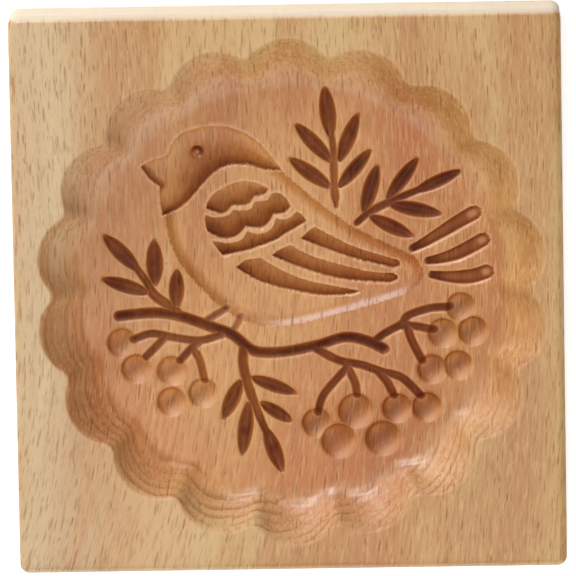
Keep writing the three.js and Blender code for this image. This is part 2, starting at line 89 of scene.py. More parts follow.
COVERTS = [
    {
        "shallow": [
            [(-23.7, 22.2), (-22.8, 24.6), (-20.6, 26.8), (-15.7, 29.1), (-12.7, 29.5), (-9.6, 28.9),
             (-6.5, 27.3)],
        ],
        "deep": [
            [(-6.5, 27.3), (-7.3, 26), (-8.8, 25.4), (-10.5, 25.2)],
            [(-10.5, 25.2), (-11.3, 24), (-12.1, 23.1), (-13.9, 22.8), (-16, 23)],
            [(-16, 23), (-17.2, 22), (-18.1, 21), (-19.8, 20.7), (-23.7, 22.2)],
        ],
    },
    {
        "shallow": [
            [(-23.4, 15.8), (-24, 18.6), (-23.8, 20.5)],
            [(-23.8, 20.5), (-22, 19.7), (-19.6, 19.7), (-17.6, 20.2), (-16.3, 21.6)],
            [(-16.3, 21.6), (-14.1, 21.4), (-11.5, 21.8), (-10.4, 23.7)],
            [(-10.4, 23.7), (-8.6, 23.9), (-6.7, 24.3), (-5.7, 26)],
            [(-5.7, 26), (-3.6, 26.1), (-1.6, 24.4), (-0.5, 22.3)],
        ],
        "deep": [
            [(-0.5, 22.3), (-1.3, 21.3), (-2.8, 20.4), (-5.2, 20.3)],
            [(-5.2, 20.3), (-6.8, 17.7), (-8.3, 16.7), (-10.5, 16.6), (-12.9, 17)],
            [(-12.9, 17), (-13.8, 15.7), (-15.4, 14.3), (-17.3, 13.8), (-19.9, 14), (-23.4, 15.8)],
        ],
    },
    {
        "shallow": [
            [(-19.4, 9.1), (-20.9, 11.1), (-22.2, 13.2)],
            [(-22.2, 13.2), (-19.7, 12.7), (-17.4, 12.5), (-14.5, 13.1), (-13.2, 14.5), (-12.4, 15.8)],
            [(-12.4, 15.8), (-10.1, 14.9), (-7.5, 15.2), (-5.5, 16.8), (-4.5, 19.2)],
            [(-4.5, 19.2), (-2.6, 18.7), (-0.4, 19.4), (0.9, 20.9)],
            [(0.9, 20.9), (2.6, 20), (3.8, 18.2)],
        ],
        "deep": [[(3.8, 18.2), (-1.8, 14.9), (-4.9, 13.1), (-11.1, 10.8), (-14.3, 10), (-19.4, 9.1)]],
    },
]
FLIGHT_FEATHERS = [
    {
        "shallow": [
            [(-15.7, 5.7), (-13, 7.6), (-9.1, 8.2)],
            [(-9.1, 8.2), (-3, 4.5), (3.9, 1.7), (18.5, -1.5)],
        ],
        "deep": [[(18.5, -1.5), (12.3, -2.4), (5.5, -2.1), (-7.9, 1.2), (-15.7, 5.7)]],
    },
    {
        "shallow": [
            [(-5.9, 8.8), (-3.6, 10.5), (-0.8, 11.6)],
            [(-0.8, 11.6), (6, 8.1), (19, 4.3), (25.5, 3.4)],
        ],
        "deep": [
            [(25.5, 3.5), (27.4, 3.2), (28.5, 2.2), (27.8, 1.2), (25.8, 0.8)],
            [(25.8, 0.8), (14, 1.9), (4, 4.7), (-5.9, 8.8)],
        ],
    },
    {
        "shallow": [[(2.2, 13.4), (3.9, 15.1), (5.9, 16.6)], [(5.9, 16.6), (15.8, 11.3), (27.5, 7.3)]],
        "deep": [
            [(27.5, 7.3), (28.6, 7), (29, 6), (28.5, 5.1), (27.4, 4.9)],
            [(27.4, 4.9), (15.8, 8), (2.2, 13.4)],
        ],
    },
]

# Tail feathers: a line from root to tip, and the widths at root, middle and tip
TAIL_FEATHERS = [
    ([(32.6, 10.4), (36.1, 12.1), (41, 15), (46, 18), (51.4, 21)], (2.1, 3.5, 4.3)),
    ([(36.8, 6.9), (40.4, 7.5), (44.2, 8.6), (48.1, 10.4), (53.5, 13.4)], (2.1, 3.7, 4.1)),
    ([(37.8, 3), (41.9, 2.4), (45.8, 2.2), (49.6, 2.6), (54.6, 4.3)], (2.1, 3.8, 4.1)),
]
TAIL_ROUND_SHARE = 0.13
TAIL_ROOT_SHARE = 0.26
# Where along a tail feather its painted highlight lies, and half its length
TAIL_PAINTED_HIGHLIGHT_AT, TAIL_PAINTED_HIGHLIGHT_HALF = 0.87, 0.08

# Sprigs: a stem, its widths, its share of the depth, and its leaves as tip, base and share of the width
SPRIGS = [
    (
        [(12, 22.3), (11.6, 26.9), (11.5, 32.4), (11.5, 37.9), (11, 42)],
        (0.6, 2.6, 2.5, 2.2, 2.3, 2.4, 2.4, 2.2, 2, 1.8),
        0.65,
        [(9.3, 55.3, 10.8, 41.4, 1.1), (1.4, 45.1, 11, 34.6, 1), (18.1, 47.5, 13, 34.7, 1),
         (-0.3, 35.6, 10.6, 27.5, 1), (21.4, 37.6, 12.8, 27.6, 0.95)],
    ),
    (
        [(17.6, 17.7), (21.2, 20.6), (26.7, 23.3), (34.6, 26.6)],
        (1.8, 2.4, 2.2, 1.9),
        1,
        [(23.3, 33.3, 19.5, 20.5, 1.05), (34.2, 35.1, 26, 24.2, 0.95), (45.9, 31.6, 33.6, 26.1, 0.85),
         (40.3, 19.8, 26.6, 22.6, 1), (32.5, 13.8, 21.2, 19.4, 0.95)],
    ),
    (
        [(-42.9, 6), (-40.1, 2), (-38.4, -1.3), (-34.5, -4.3), (-32, -6.2)],
        (1.8, 2.2, 2.8, 2.8, 2.4),
        1,
        [(-51.6, 15.2, -42.4, 5.5, 1.05), (-52.2, 3.2, -39.7, -0.9, 0.95), (-38, 13.6, -37.9, 1.2, 1.15),
         (-31.9, 5.4, -32.3, -5.3, 1.05)],
    ),
    (
        [(-14, -17.1), (-14.2, -21), (-13, -26.8), (-10.7, -33.8), (-8.2, -40.2)],
        (2.9, 2.9, 2.7, 2.3, 1.9),
        1,
        [(-19.8, -35.9, -15, -25.5, 1.05), (-14.9, -46.1, -12.9, -31.7, 1.05), (-4.1, -51, -8.4, -39, 1.05),
         (-0.2, -29.3, -12, -24.8, 0.9), (-1.4, -37.1, -9.5, -31.8, 0.85)],
    ),
]

# The branch, then its side branches and the bird's two legs, each with its share of the twig depth
BRANCH = [
    (-48, -7.1), (-38.1, -6.4), (-30.8, -7.6), (-23.1, -10.4), (-17.2, -12.7), (-12.3, -16.8), (-8.5, -17.9),
    (-1.4, -17.6), (6.9, -15.9), (13.8, -14), (19.5, -15), (24.4, -17.4),
]
TWIGS = [
    ([(-44.3, -13.8), (-39.1, -12.2), (-32.8, -13.4), (-26, -14.3), (-20, -12.8)], 0.85),
    ([(-35.6, -13.3), (-38.3, -16.1), (-40.8, -18.6)], 0.8),
    ([(-25.6, -14.2), (-28.7, -16.8), (-31.6, -19.9)], 0.8),
    ([(-28.2, -16.5), (-26.2, -19.4), (-24.9, -25.5)], 0.6),
    ([(5.2, -16.6), (11.7, -20.3), (18.3, -21.8), (23.7, -23.8), (29.2, -25.5), (34.4, -30.7)], 1),
    ([(15.2, -21.4), (11.4, -25.5), (7.5, -30.2), (6, -35)], 0.9),
    ([(14, -21.6), (16.3, -26.5), (16.8, -30.2)], 0.75),
    ([(22.6, -23.4), (25.3, -26.9), (27, -30.6)], 0.9),
    ([(21.6, -15.4), (24.7, -13.1), (29.4, -10.5), (31.1, -8.3), (37.2, -6.3), (42.6, -6)], 1),
    ([(29.4, -11), (33.5, -11.3), (38.2, -12.4)], 0.9),
    ([(31, -10.9), (31.8, -14.5), (34.9, -21)], 0.9),
    ([(-18.6, -5.6), (-21.4, -7.2), (-24.3, -8.9)], 0.55),
    ([(-14.7, -7.8), (-16, -10.4), (-17.2, -12.1)], 0.35),
]
BERRIES = [
    (-47.3, -14.6), (-43.6, -21.9), (-33.8, -22.6), (-34, -31.2), (-25.4, -28.9), (5.7, -37.7),
    (27.7, -33.9), (35.9, -33.7), (45.6, -6.1), (40.6, -13.2), (48.8, -12.8), (37.5, -23.2), (44.6, -22.2),
]
LARGE_BERRIES = [(16.4, -34.5), (11.6, -42.8), (23.7, -42.2)]

# How the blank's points are laid, in millimetres and counts
ARRIS_STEP = 0.42
CLOSEST = 0.17
FILL_STEP = 0.85
FILL_CLEARANCE = 0.46
FILL_PAST_RIM = 1.5
MARGIN_STEP = 3.0
MARGIN_CLEARANCE = 2.4
SIDE_STEP = 1.6
SIDE_LOOPS = 7
BEND_POINTS = 6
WALL_RINGS = 24
RINGS_PAST_FOOT = 2
LOBE_POINTS = 38
LEAF_POINTS = 30
EYE_POINTS = 20
GROOVE_END_POINTS = 12
OUTER_ROW = 0.22
WIDE_OUTER_ROW = 0.24

# Rows of points, by their distances from an arris or a centre in millimetres
RIM_ROWS = (OUTER_ROW, 0.55, 1.2)
BODY_ROWS = (0.5, 1.1, 1.8, 2.6, 3.4)
HEAD_ROWS = (0.25, 0.5, 0.8, 1.2)
WING_ROWS = (0.22, 0.45, 0.75, 1.15)
EYE_ROWS = (0.3, 0.6, 0.85, 1.1, 1.35, 1.6, 1.85)
BERRY_ROWS = (0, WIDE_OUTER_ROW, -WIDE_OUTER_ROW, -0.6)
BERRY_FILL_START = 1.1
BERRY_FILL_END = 0.3
BERRY_FILL_STEP = 0.62
CROWDED_SHARE = 0.85

# Rows of points, by their shares of a groove's or a leaf's half width
TAIL_ROWS = (0.86, 0.66, 0.33)
BRANCH_ROWS = (0.78, 0.55, 0.28)
THIN_ROWS = (0.66, 0.33)
MIDRIB_SHARE = 0.24
LEAF_ROWS = (0.72, 0.45, MIDRIB_SHARE)

# How the cuts turn at their arrises and fade, in millimetres
ARRIS_EASE = 0.25
FACET_WIDTH = 1.6
CORNER_REACH = 2.7
BED_EDGE = 0.25
# Where the painted highlight just outside an arris begins to fade, and where it is gone
PAINTED_HIGHLIGHT_START, PAINTED_HIGHLIGHT_END = 0.3, 0.62
EYE_MARGIN = 0.3
TAIL_WALL = 0.7
DISH_EDGE = 0.4

# The strip over which the wall's slope is averaged, so that it turns softly, in millimetres
WALL_SAMPLES = (-0.2, -0.07, 0.07, 0.2)

# Shares and powers that shape the cuts, and the side to which a berry's dish fades
GROOVE_FLAT_SHARE = 0.15
GROOVE_POWER = 1.25
BODY_POWER = 1.7
LEAF_POWER = 1.3
LEAF_WALL_SHARE = 0.7
LEAF_FULLNESS_POWER = 0.52
LEAF_POINT_SHARE = 0.1
DISH_FADE_SIDE = (0.64, -0.77, 0)
DISH_POWER = 0.75

# Beds: the power of the slope, and the walls' widths at the shallow and the deep edge in millimetres
HEAD_BED = (1.9, (0.9, 0.35))
COVERT_BED = (0.9, (0.6, 0.35))
FLIGHT_BED = (1.0, (0.35, 0.35))

# Tones of painted shade: how dark a bed is at its shallow edge, the rise to its deep edge, and the power of
# the rise
HEAD_TONE = (0.04, 0.84, 1.6)
COVERT_TONES = ((0.15, 0.66, 1.5), (0.45, 0.66, 1.5), (0.42, 0.66, 1.5))
FLIGHT_TONE = (0.38, 0.56, 1.4)
# Painted shade at a bed's deepest corner, along the body's cove and in the eye's ring
CORNER_TONE = 0.55
BODY_TONE = 0.42
EYE_TONE = 1.4


def length(name, description, metres):
    """A length in metres, shown in the sidebar."""
    return bpy.props.FloatProperty(
        name=name, description=description, default=metres, min=0.0, precision=4, unit="LENGTH"
    )


def colour(name, description, rgb):
    """A colour written as it looks on a screen, kept as Blender's linear values."""
    return bpy.props.FloatVectorProperty(
        name=name, description=description, default=[linear(c) for c in rgb], size=3, min=0.0, max=1.0,
        subtype="COLOR",
    )


def number(name, description, value):
    """A plain number, shown in the sidebar."""
    return bpy.props.FloatProperty(name=name, description=description, default=value)


def linear(value):
    """A screen value from 0 to 255 as a linear one."""
    share = value / 255
    return share / 12.92 if share <= 0.04045 else ((share + 0.055) / 1.055) ** 2.4


class MouldSizes(bpy.types.PropertyGroup):
    """The sizes of the carving."""

    basin_depth: length("Basin depth", "From the face to the basin's floor", 0.009)
    basin_off_centre: length("Basin off centre", "How far the basin lies right of the middle", 0.0008)
    figure_off_centre: length("Figure off centre", "How far the figure lies right of the middle", 0.0013)
    rim_radius: length("Rim radius", "To the top of a lobe of the rim", 0.0702)
    lobe_radius: length("Lobe radius", "Radius of one lobe", 0.0129)
    lobe_count: bpy.props.IntProperty(name="Lobes", description="Lobes round the rim", default=18, min=3)
    cusp_ease: bpy.props.FloatProperty(
        name="Cusp ease", description="How far the points between lobes are eased", unit="ROTATION",
        default=math.radians(1.3),
    )
    wall_width: length("Wall width", "Plan width of the wall", 0.0135)
    wall_turn: number("Wall turn", "At 1 the wall is steepest halfway in, at less nearer the rim", 0.7)
    foot_lobe_depth: length("Foot lobe depth", "How far the lobes still show at the wall's foot", 0.0024)
    edge_round: length("Edge round", "Radius of the block's eased edges", 0.002)
    corner_radius: length("Corner radius", "Radius of the block's corners in plan", 0.0026)
    body_depth: length("Body depth", "Bed of the bird's body below the floor", 0.0012)
    body_cove: length("Body cove", "Width of the coved edge of the body", 0.0032)
    crown_depth: length("Crown depth", "Bed of the head at its outer edge", 0.001)
    collar_depth: length("Collar depth", "Bed of the head at the collar", 0.0036)
    eye_radius: length("Eye radius", "Outer radius of the ring round the pupil", 0.0018)
    eye_depth: length("Eye depth", "Bed of that ring below the floor", 0.0028)
    covert_top: length("Covert top depth", "Bed of a covert at its upper edge", 0.0002)
    feather_top: length("Feather top depth", "Bed of a flight feather at its upper edge", 0.0006)
    feather_foot: length("Feather foot depth", "Bed of a wing feather at its lower edge", 0.0019)
    tail_depth: length("Tail depth", "Bed of a tail feather", 0.0017)
    leaf_width: length("Leaf width", "Greatest width of a leaf", 0.0041)
    leaf_depth: length("Leaf depth", "Deepest line of a leaf", 0.0021)
    midrib_depth: length("Midrib depth", "Top of a leaf's midrib below the floor", 0.0017)
    stem_depth: length("Stem depth", "Depth of a sprig's stem", 0.0016)
    branch_width: length("Branch width", "Width of the main branch", 0.003)
    twig_width: length("Twig width", "Width of a side branch", 0.0023)
    twig_depth: length("Twig depth", "Depth of the branch and side branches", 0.0017)
    berry_radius: length("Berry radius", "Radius of a berry's dish", 0.0041)
    large_berry_radius: length("Large berry radius", "Radius of a large berry's dish", 0.0049)
    berry_depth: length("Berry depth", "Depth of a berry's dish", 0.0025)
    gouge_pitch: length("Gouge pitch", "Drop of the wall between two passes of the gouge", 0.0011)
    gouge_height: length("Gouge height", "Height of the ridges that the gouge leaves", 0.00006)
    unevenness: length("Unevenness", "Slight waves left by carving and sanding", 0.00005)


class WoodLook(bpy.types.PropertyGroup):
    """The colours and figure of the beech."""

    pale: colour("Pale wood", "The palest bands", (212, 174, 119))
    tan: colour("Tan wood", "The commonest tone", (199, 153, 99))
    russet: colour("Russet wood", "The reddest bands", (192, 139, 88))
    sapwood: colour("Sapwood", "The creamy wood towards the block's left edge", (216, 193, 156))
    streak: colour("Fibre streak", "Fine dark fibres", (166, 113, 61))
    ring: colour("Ring", "Late wood at the end of each year's growth", (150, 90, 50))
    fleck: colour("Ray fleck", "Rays cut across on the face", (124, 60, 12))
    blush: colour("Blush", "Tint of the pinker bands of the tree's growth", (255, 245, 240))
    soaked: colour("Soaked", "Tint where oil has soaked into the basin", (252, 218, 195))
    # Stain and rim stain: partly the wood's colour, partly painted shade on sides of the basin's wall and
    # painted shadow on the floor at its foot
    stain_and_shade: colour("Stain", "Tint of the redder parts of the basin's wall and floor", (246, 223, 208))
    rim_stain_and_shade: colour("Rim stain", "Tint of the basin's duller parts", (236, 226, 208))
    # Bloom: a painted sheen, paler patches on the wall and along its foot, not dry wood
    painted_sheen: colour("Bloom", "Dry, paler parts of the basin's wall and its foot", (226, 198, 172))
    # Cut: the tint of the painted shade in the cuts, and of the darker wood in the narrow cuts
    cut: colour("Cut", "Tint of a cut bed, taken to a higher power the darker the bed is", (168, 126, 78))
    # Arris: a painted highlight beside the arrises, where their rounded edges would catch the light; it is
    # not sanded wear
    arris: colour("Arris", "Pale wood along the arrises, where sanding has worn them", (232, 177, 132))
    # End grain: the pale ends of the block, much paler at the top end, where painted light stands for the
    # light falling on it
    end_grain_and_painted_light: colour("End grain", "Pale sanded ends of the block", (236, 220, 196))
    soak: number("Soak", "How far the basin takes the soaked tint", 1.0)
    roughness: number("Roughness", "Roughness of the oiled face", 0.38)


class StageLook(bpy.types.PropertyGroup):
    """The floor and the lamps."""

    floor: colour("Floor", "Colour of the floor", (244, 244, 243))
    level: number("Light level", "Strength of all the lamps together", 1.0)


class Number:
    """A value in a node tree. Arithmetic on a number adds Math nodes."""

    def __init__(self, tree, socket):
        self.tree = tree
        self.socket = socket

    def math(self, operation, *others, clamp=False):
        """A Math node whose first input is this number."""
        node = add(self.tree, "ShaderNodeMath", operation=operation, use_clamp=clamp)
        for value, socket in zip((self, *others), node.inputs):
            plug(self.tree, value, socket)
        return Number(self.tree, node.outputs[0])

    def __add__(self, other):
        return self.math("ADD", other)

    def __sub__(self, other):
        return self.math("SUBTRACT", other)

    def __rsub__(self, other):
        return self.math("MULTIPLY_ADD", -1.0, other)

    def __mul__(self, other):
        return self.math("MULTIPLY", other)

    def __truediv__(self, other):
        return self.math("DIVIDE", other)

    def __pow__(self, other):
        return self.math("POWER", other)

    def clamped(self):
        """This number, kept between 0 and 1."""
        return self.math("ADD", 0.0, clamp=True)

    def ramp(self, start, end, low=0.0, high=1.0):
        """This number carried smoothly from start..end to low..high, and held at the ends."""
        node = add(self.tree, "ShaderNodeMapRange", {
            "Value": self, "From Min": start, "From Max": end, "To Min": low, "To Max": high,
        }, interpolation_type="SMOOTHSTEP")
        return Number(self.tree, node.outputs["Result"])


def greatest(first, *others):
    """The greatest of several numbers in a node tree."""
    for other in others:
        first = first.math("MAXIMUM", other)
    return first


def plug(tree, value, socket):
    """Links a number or socket to an input, or sets the input to a plain value."""
    if isinstance(value, Number):
        tree.links.new(value.socket, socket)
    elif isinstance(value, bpy.types.NodeSocket):
        tree.links.new(value, socket)
    else:
        socket.default_value = value


def add(tree, kind, inputs=None, **settings):
    """A new node with its settings, and its inputs by name or place."""
    node = tree.nodes.new(kind)
    for name, value in settings.items():
        setattr(node, name, value)
    for name, value in (inputs or {}).items():
        plug(tree, value, node.inputs[name])
    return node


def new_group(name, kind, inputs, outputs, defaults=None):
    """An empty node group: its tree, its inputs by name, and the sockets that take its outputs."""
    tree = bpy.data.node_groups.new(name, kind)
    for way, sockets in (("INPUT", inputs), ("OUTPUT", outputs)):
        for label, socket_type in sockets.items():
            tree.interface.new_socket(name=label, in_out=way, socket_type=socket_type)
    for label, value in (defaults or {}).items():
        tree.interface.items_tree[label].default_value = value
    start = {socket.name: Number(tree, socket) for socket in tree.nodes.new("NodeGroupInput").outputs}
    return tree, start, tree.nodes.new("NodeGroupOutput").inputs


FLOAT = "NodeSocketFloat"
VECTOR = "NodeSocketVector"
GEOMETRY = "NodeSocketGeometry"
OBJECT = "NodeSocketObject"


def vector(tree, x, y, z):
    """Three numbers as a vector."""
    return add(tree, "ShaderNodeCombineXYZ", {"X": x, "Y": y, "Z": z}).outputs[0]


def parts(tree, whole, kind="ShaderNodeSeparateXYZ"):
    """The three numbers of a vector, or with another kind of node of a colour."""
    return [Number(tree, socket) for socket in add(tree, kind, {0: whole}).outputs]


def vectors(tree, operation, *inputs):
    """A Vector Math node's result: a number for a length or a dot product, or else a vector."""
    node = add(tree, "ShaderNodeVectorMath", dict(enumerate(inputs)), operation=operation)
    return Number(tree, node.outputs["Value" if operation in ("LENGTH", "DOT_PRODUCT") else "Vector"])


def noise(tree, place, scale, detail=2.0, roughness=0.5):
    """The value of a noise texture, about 0.5 in the middle."""
    inputs = {"Vector": place, "Scale": scale, "Detail": detail, "Roughness": roughness}
    return Number(tree, add(tree, "ShaderNodeTexNoise", inputs).outputs[0])


def smooth_line(points, step):
    """Even points along the smooth line through the given ones, the last one included."""
    control = np.array(points, float)
    last = len(control) - 1
    fine = []
    for i in range(last):
        before, here, there, after = (control[min(max(j, 0), last)] for j in (i - 1, i, i + 1, i + 2))
        t = np.linspace(0, 1, 24, endpoint=False)[:, None]
        leave, arrive = (there - before) / 2, (after - here) / 2
        fine.append(
            (2 * t**3 - 3 * t**2 + 1) * here
            + (t**3 - 2 * t**2 + t) * leave
            + (3 * t**2 - 2 * t**3) * there
            + (t**3 - t**2) * arrive
        )
    line = np.vstack([*fine, control[-1:]])
    run = np.concatenate([[0], np.cumsum(np.hypot(*np.diff(line, axis=0).T))])
    count = max(2, round(run[-1] / step))
    even = np.linspace(0, run[-1], count + 1)
    return np.stack([np.interp(even, run, line[:, k]) for k in (0, 1)], 1)


def closed_outline(strokes):
    """The points of an outline made of strokes, without repeating the corners."""
    return np.vstack([smooth_line(stroke, ARRIS_STEP)[:-1] for stroke in strokes])


def full_turn(count):
    """Even angles all the way round."""
    return np.linspace(0, 2 * math.pi, count, endpoint=False)


def arc(centre, radius, turns):
    """The points at the given angles on a circle."""
    return np.array(centre) + radius * np.stack([np.cos(turns), np.sin(turns)], 1)


def left_of(line, closed=False):
    """The unit vector to the left at each point of a line."""
    along = np.roll(line, -1, 0) - np.roll(line, 1, 0) if closed else np.gradient(line, axis=0)
    along /= np.maximum(np.hypot(*along.T), 1e-9)[:, None]
    return np.stack([-along[:, 1], along[:, 0]], 1)


def nearest_on(points, line, closed=False):
    """For each point, its distance from a line and the share of the line's points at which it is nearest."""
    start = line if closed else line[:-1]
    run = (np.roll(line, -1, 0) if closed else line[1:]) - start
    square = np.maximum((run**2).sum(1), 1e-12)
    best = np.full(len(points), 1e9)
    place = np.zeros(len(points))
    for k in range(len(start)):
        offset = points - start[k]
        share = np.clip(offset @ run[k] / square[k], 0, 1)
        gap = np.hypot(*(offset - share[:, None] * run[k]).T)
        closer = gap < best
        best[closer] = gap[closer]
        place[closer] = (k + share[closer]) / len(start)
    return best, place


def is_inside(points, outline):
    """Whether each point lies inside a closed outline."""
    inside = np.zeros(len(points), bool)
    x, y = points.T
    for (ax, ay), (bx, by) in zip(outline, np.roll(outline, -1, 0)):
        if ay != by:
            crossing = (ay > y) != (by > y)
            inside ^= crossing & (x < (bx - ax) * (y - ay) / (by - ay) + ax)
    return inside


def near(points, outline, reach):
    """The places in the list of the points that lie near an outline or inside its box."""
    low, high = outline.min(0) - reach, outline.max(0) + reach
    return np.flatnonzero(((points > low) & (points < high)).all(1))


def cove(inside, width, power=2.0):
    """0 outside an arris and 1 past the wall, coving into the bed, with the turn at the arris eased."""
    eased = (inside + np.sqrt(inside**2 + ARRIS_EASE**2)) / 2
    return 1 - (1 - np.clip(eased / width, 0, 1)) ** power


def gentle(share):
    """0 to 1 over a run, without a crease at either end."""
    share = np.clip(share, 0, 1)
    return share * share * (3 - 2 * share)


def swell(share):
    """The fullness of a leaf along its length, narrowing to both ends."""
    round_middle = np.maximum(0, np.sin(np.pi * np.clip(share, 0, 1)))
    return np.maximum(LEAF_POINT_SHARE, round_middle**LEAF_FULLNESS_POWER)


def within_bed(inside):
    """1 inside an edge and 0 outside it, changing over a narrow strip."""
    return np.clip(inside / BED_EDGE + 0.2, 0, 1)


def painted_arris_highlight(outside):
    """A painted highlight: 1 just outside an arris, dying away further out."""
    return np.clip((PAINTED_HIGHLIGHT_END - outside) / (PAINTED_HIGHLIGHT_END - PAINTED_HIGHLIGHT_START), 0, 1)


def thin_out(points, closest):
    """The places in the list of the points to keep, each far enough from all those kept before it."""
    cells = {}
    kept = []
    for place, (x, y) in enumerate(points):
        i, j = int(x // closest), int(y // closest)
        crowded = any(
            (x - u) ** 2 + (y - v) ** 2 < closest**2
            for di in (-1, 0, 1)
            for dj in (-1, 0, 1)
            for u, v in cells.get((i + di, j + dj), ())
        )
        if not crowded:
            cells.setdefault((i, j), []).append((x, y))
            kept.append(place)
    return np.array(kept)


class Layout:
    """Where the blank's points lie, in millimetres in the bird's frame."""

    def __init__(self, sizes):
        self.sizes = sizes
        self.basin = np.array([(sizes.basin_off_centre - sizes.figure_off_centre) / MM, 0])
        self.lines = []
        self.rows = []

    def mm(self, name):
        """One of the sizes in millimetres."""
        return getattr(self.sizes, name) / MM

    def lobe_reach(self, off):
        """The reach of a lobe's edge at an angle off the lobe's middle."""
        lobe = self.mm("lobe_radius")
        centre = self.mm("rim_radius") - lobe
        return centre * np.cos(off) + np.sqrt(lobe**2 - (centre * np.sin(off)) ** 2)

    def rim(self, angle):
        """The reach of the rim at an angle from its topmost lobe, with the points between lobes eased."""
        pitch = 2 * math.pi / self.sizes.lobe_count
        turns = [angle + ease for ease in (-self.sizes.cusp_ease, 0, self.sizes.cusp_ease)]
        return sum(self.lobe_reach(turn - pitch * np.round(turn / pitch)) for turn in turns) / 3

    def foot(self, angle):
        """The reach of the wall's foot at an angle."""
        radius = self.mm("rim_radius")
        share = self.mm("foot_lobe_depth") / (radius - self.lobe_reach(math.pi / self.sizes.lobe_count))
        return radius - self.mm("wall_width") - (radius - self.rim(angle)) * share

    def lay_basin(self):
        """Rings of points from just outside the rim down past the wall's foot."""
        angle = full_turn(self.sizes.lobe_count * LOBE_POINTS)
        rim, foot = self.rim(angle), self.foot(angle)
        way = np.stack([-np.sin(angle), np.cos(angle)], 1)
        self.lines.append(self.basin + way * rim[:, None])
        self.rows += [self.basin + way * (rim + out)[:, None] for out in RIM_ROWS]
        for k in range(1, WALL_RINGS + RINGS_PAST_FOOT + 1):
            self.rows.append(self.basin + way * (rim + (foot - rim) * (k / WALL_RINGS))[:, None])

    def lay_hollow(self, strokes, rows):
        """Lines along an outline, and rows beside it at the given distances inwards."""
        outline = closed_outline(strokes)
        inward = left_of(outline, closed=True)
        if not is_inside((outline + OUTER_ROW * inward)[:1], outline)[0]:
            inward = -inward
        self.lines.append(outline)
        self.rows.append(outline - OUTER_ROW * inward)
        for distance in rows:
            row = outline + distance * inward
            gap, _ = nearest_on(row, outline, closed=True)
            self.rows.append(row[(gap > CROWDED_SHARE * distance) & is_inside(row, outline)])

    def lay_beside(self, line, half, outer, shares):
        """Lines along both sides of a band round a line, a row outside each, and rows between them."""
        side = left_of(line)
        for sign in (1, -1):
            self.lines.append(line + sign * half * side)
            self.rows.append(line + sign * (half + outer) * side)
            self.rows += [line + sign * share * half * side for share in shares]

    def lay_groove(self, points, widths, shares=THIN_ROWS):
        """The lines and rows of a groove, with its round ends."""
        line = smooth_line(points, ARRIS_STEP)
        places = np.linspace(0, 1, len(line)), np.linspace(0, 1, len(widths))
        half = np.interp(*places, widths)[:, None] / 2
        self.lay_beside(line, half, WIDE_OUTER_ROW, shares)
        self.rows.append(line)
        for end in (0, -1):
            for radius in (half[end], half[end] + WIDE_OUTER_ROW):
                self.rows.append(arc(line[end], radius, full_turn(GROOVE_END_POINTS)))

    def lay_leaf(self, leaf):
        """Lines along a leaf's two edges and its midrib, and rows over its two beds."""
        tip, base = np.array(leaf[:2], float), np.array(leaf[2:4], float)
        share = np.linspace(0, 1, LEAF_POINTS)
        line = tip + (base - tip) * share[:, None]
        self.lines.append(line)
        half = (self.mm("leaf_width") * leaf[4] / 2 * swell(share))[:, None]
        self.lay_beside(line, half, OUTER_ROW, LEAF_ROWS)

    def lay_berry(self, centre, radius):
        """Circles from just outside a berry's edge to its middle."""
        rings = [radius + row for row in BERRY_ROWS]
        for reach in [*rings, *np.arange(radius - BERRY_FILL_START, BERRY_FILL_END, -BERRY_FILL_STEP)]:
            step = max(ARRIS_STEP, 0.1 * (radius - reach) + ARRIS_STEP)
            self.rows.append(arc(centre, reach, full_turn(max(6, round(2 * math.pi * reach / step)))))
        self.rows.append(np.array([centre], float))

    def lay_all(self):
        """Every line and row of the carving, then an even fill of what is left."""
        self.lay_basin()
        self.lay_hollow(BODY, BODY_ROWS)
        for hollow in (HEAD, *COVERTS, *FLIGHT_FEATHERS):
            rows = HEAD_ROWS if hollow is HEAD else WING_ROWS
            self.lay_hollow([*hollow["shallow"], *hollow["deep"]], rows)
        for line, widths in TAIL_FEATHERS:
            self.lay_groove(line, widths, TAIL_ROWS)
        for stem, widths, _, leaves in SPRIGS:
            self.lay_groove(stem, widths)
            for leaf in leaves:
                self.lay_leaf(leaf)
        self.lay_groove(BRANCH, [self.mm("branch_width")], BRANCH_ROWS)
        for twig, _ in TWIGS:
            self.lay_groove(twig, [self.mm("twig_width")])
        for places, name in ((BERRIES, "berry_radius"), (LARGE_BERRIES, "large_berry_radius")):
            for place in places:
                self.lay_berry(place, self.mm(name))
        self.rows += [arc(EYE_CENTRE, radius, full_turn(EYE_POINTS)) for radius in EYE_ROWS]
        laid = np.vstack([*self.lines, *self.rows])
        laid = laid[thin_out(laid, CLOSEST)]
        reach = self.mm("rim_radius") + 2
        columns = np.arange(-reach, reach, FILL_STEP)
        rows = np.arange(-reach, reach, FILL_STEP * math.sqrt(3) / 2)
        fill = np.array([(x + (j % 2) * FILL_STEP / 2, y) for j, y in enumerate(rows) for x in columns])
        fill = fill[np.hypot(*(fill - self.basin).T) < self.mm("rim_radius") + FILL_PAST_RIM]
        both = np.vstack([laid, fill])
        kept = thin_out(both, FILL_CLEARANCE)
        return np.vstack([laid, both[kept[kept >= len(laid)]]])


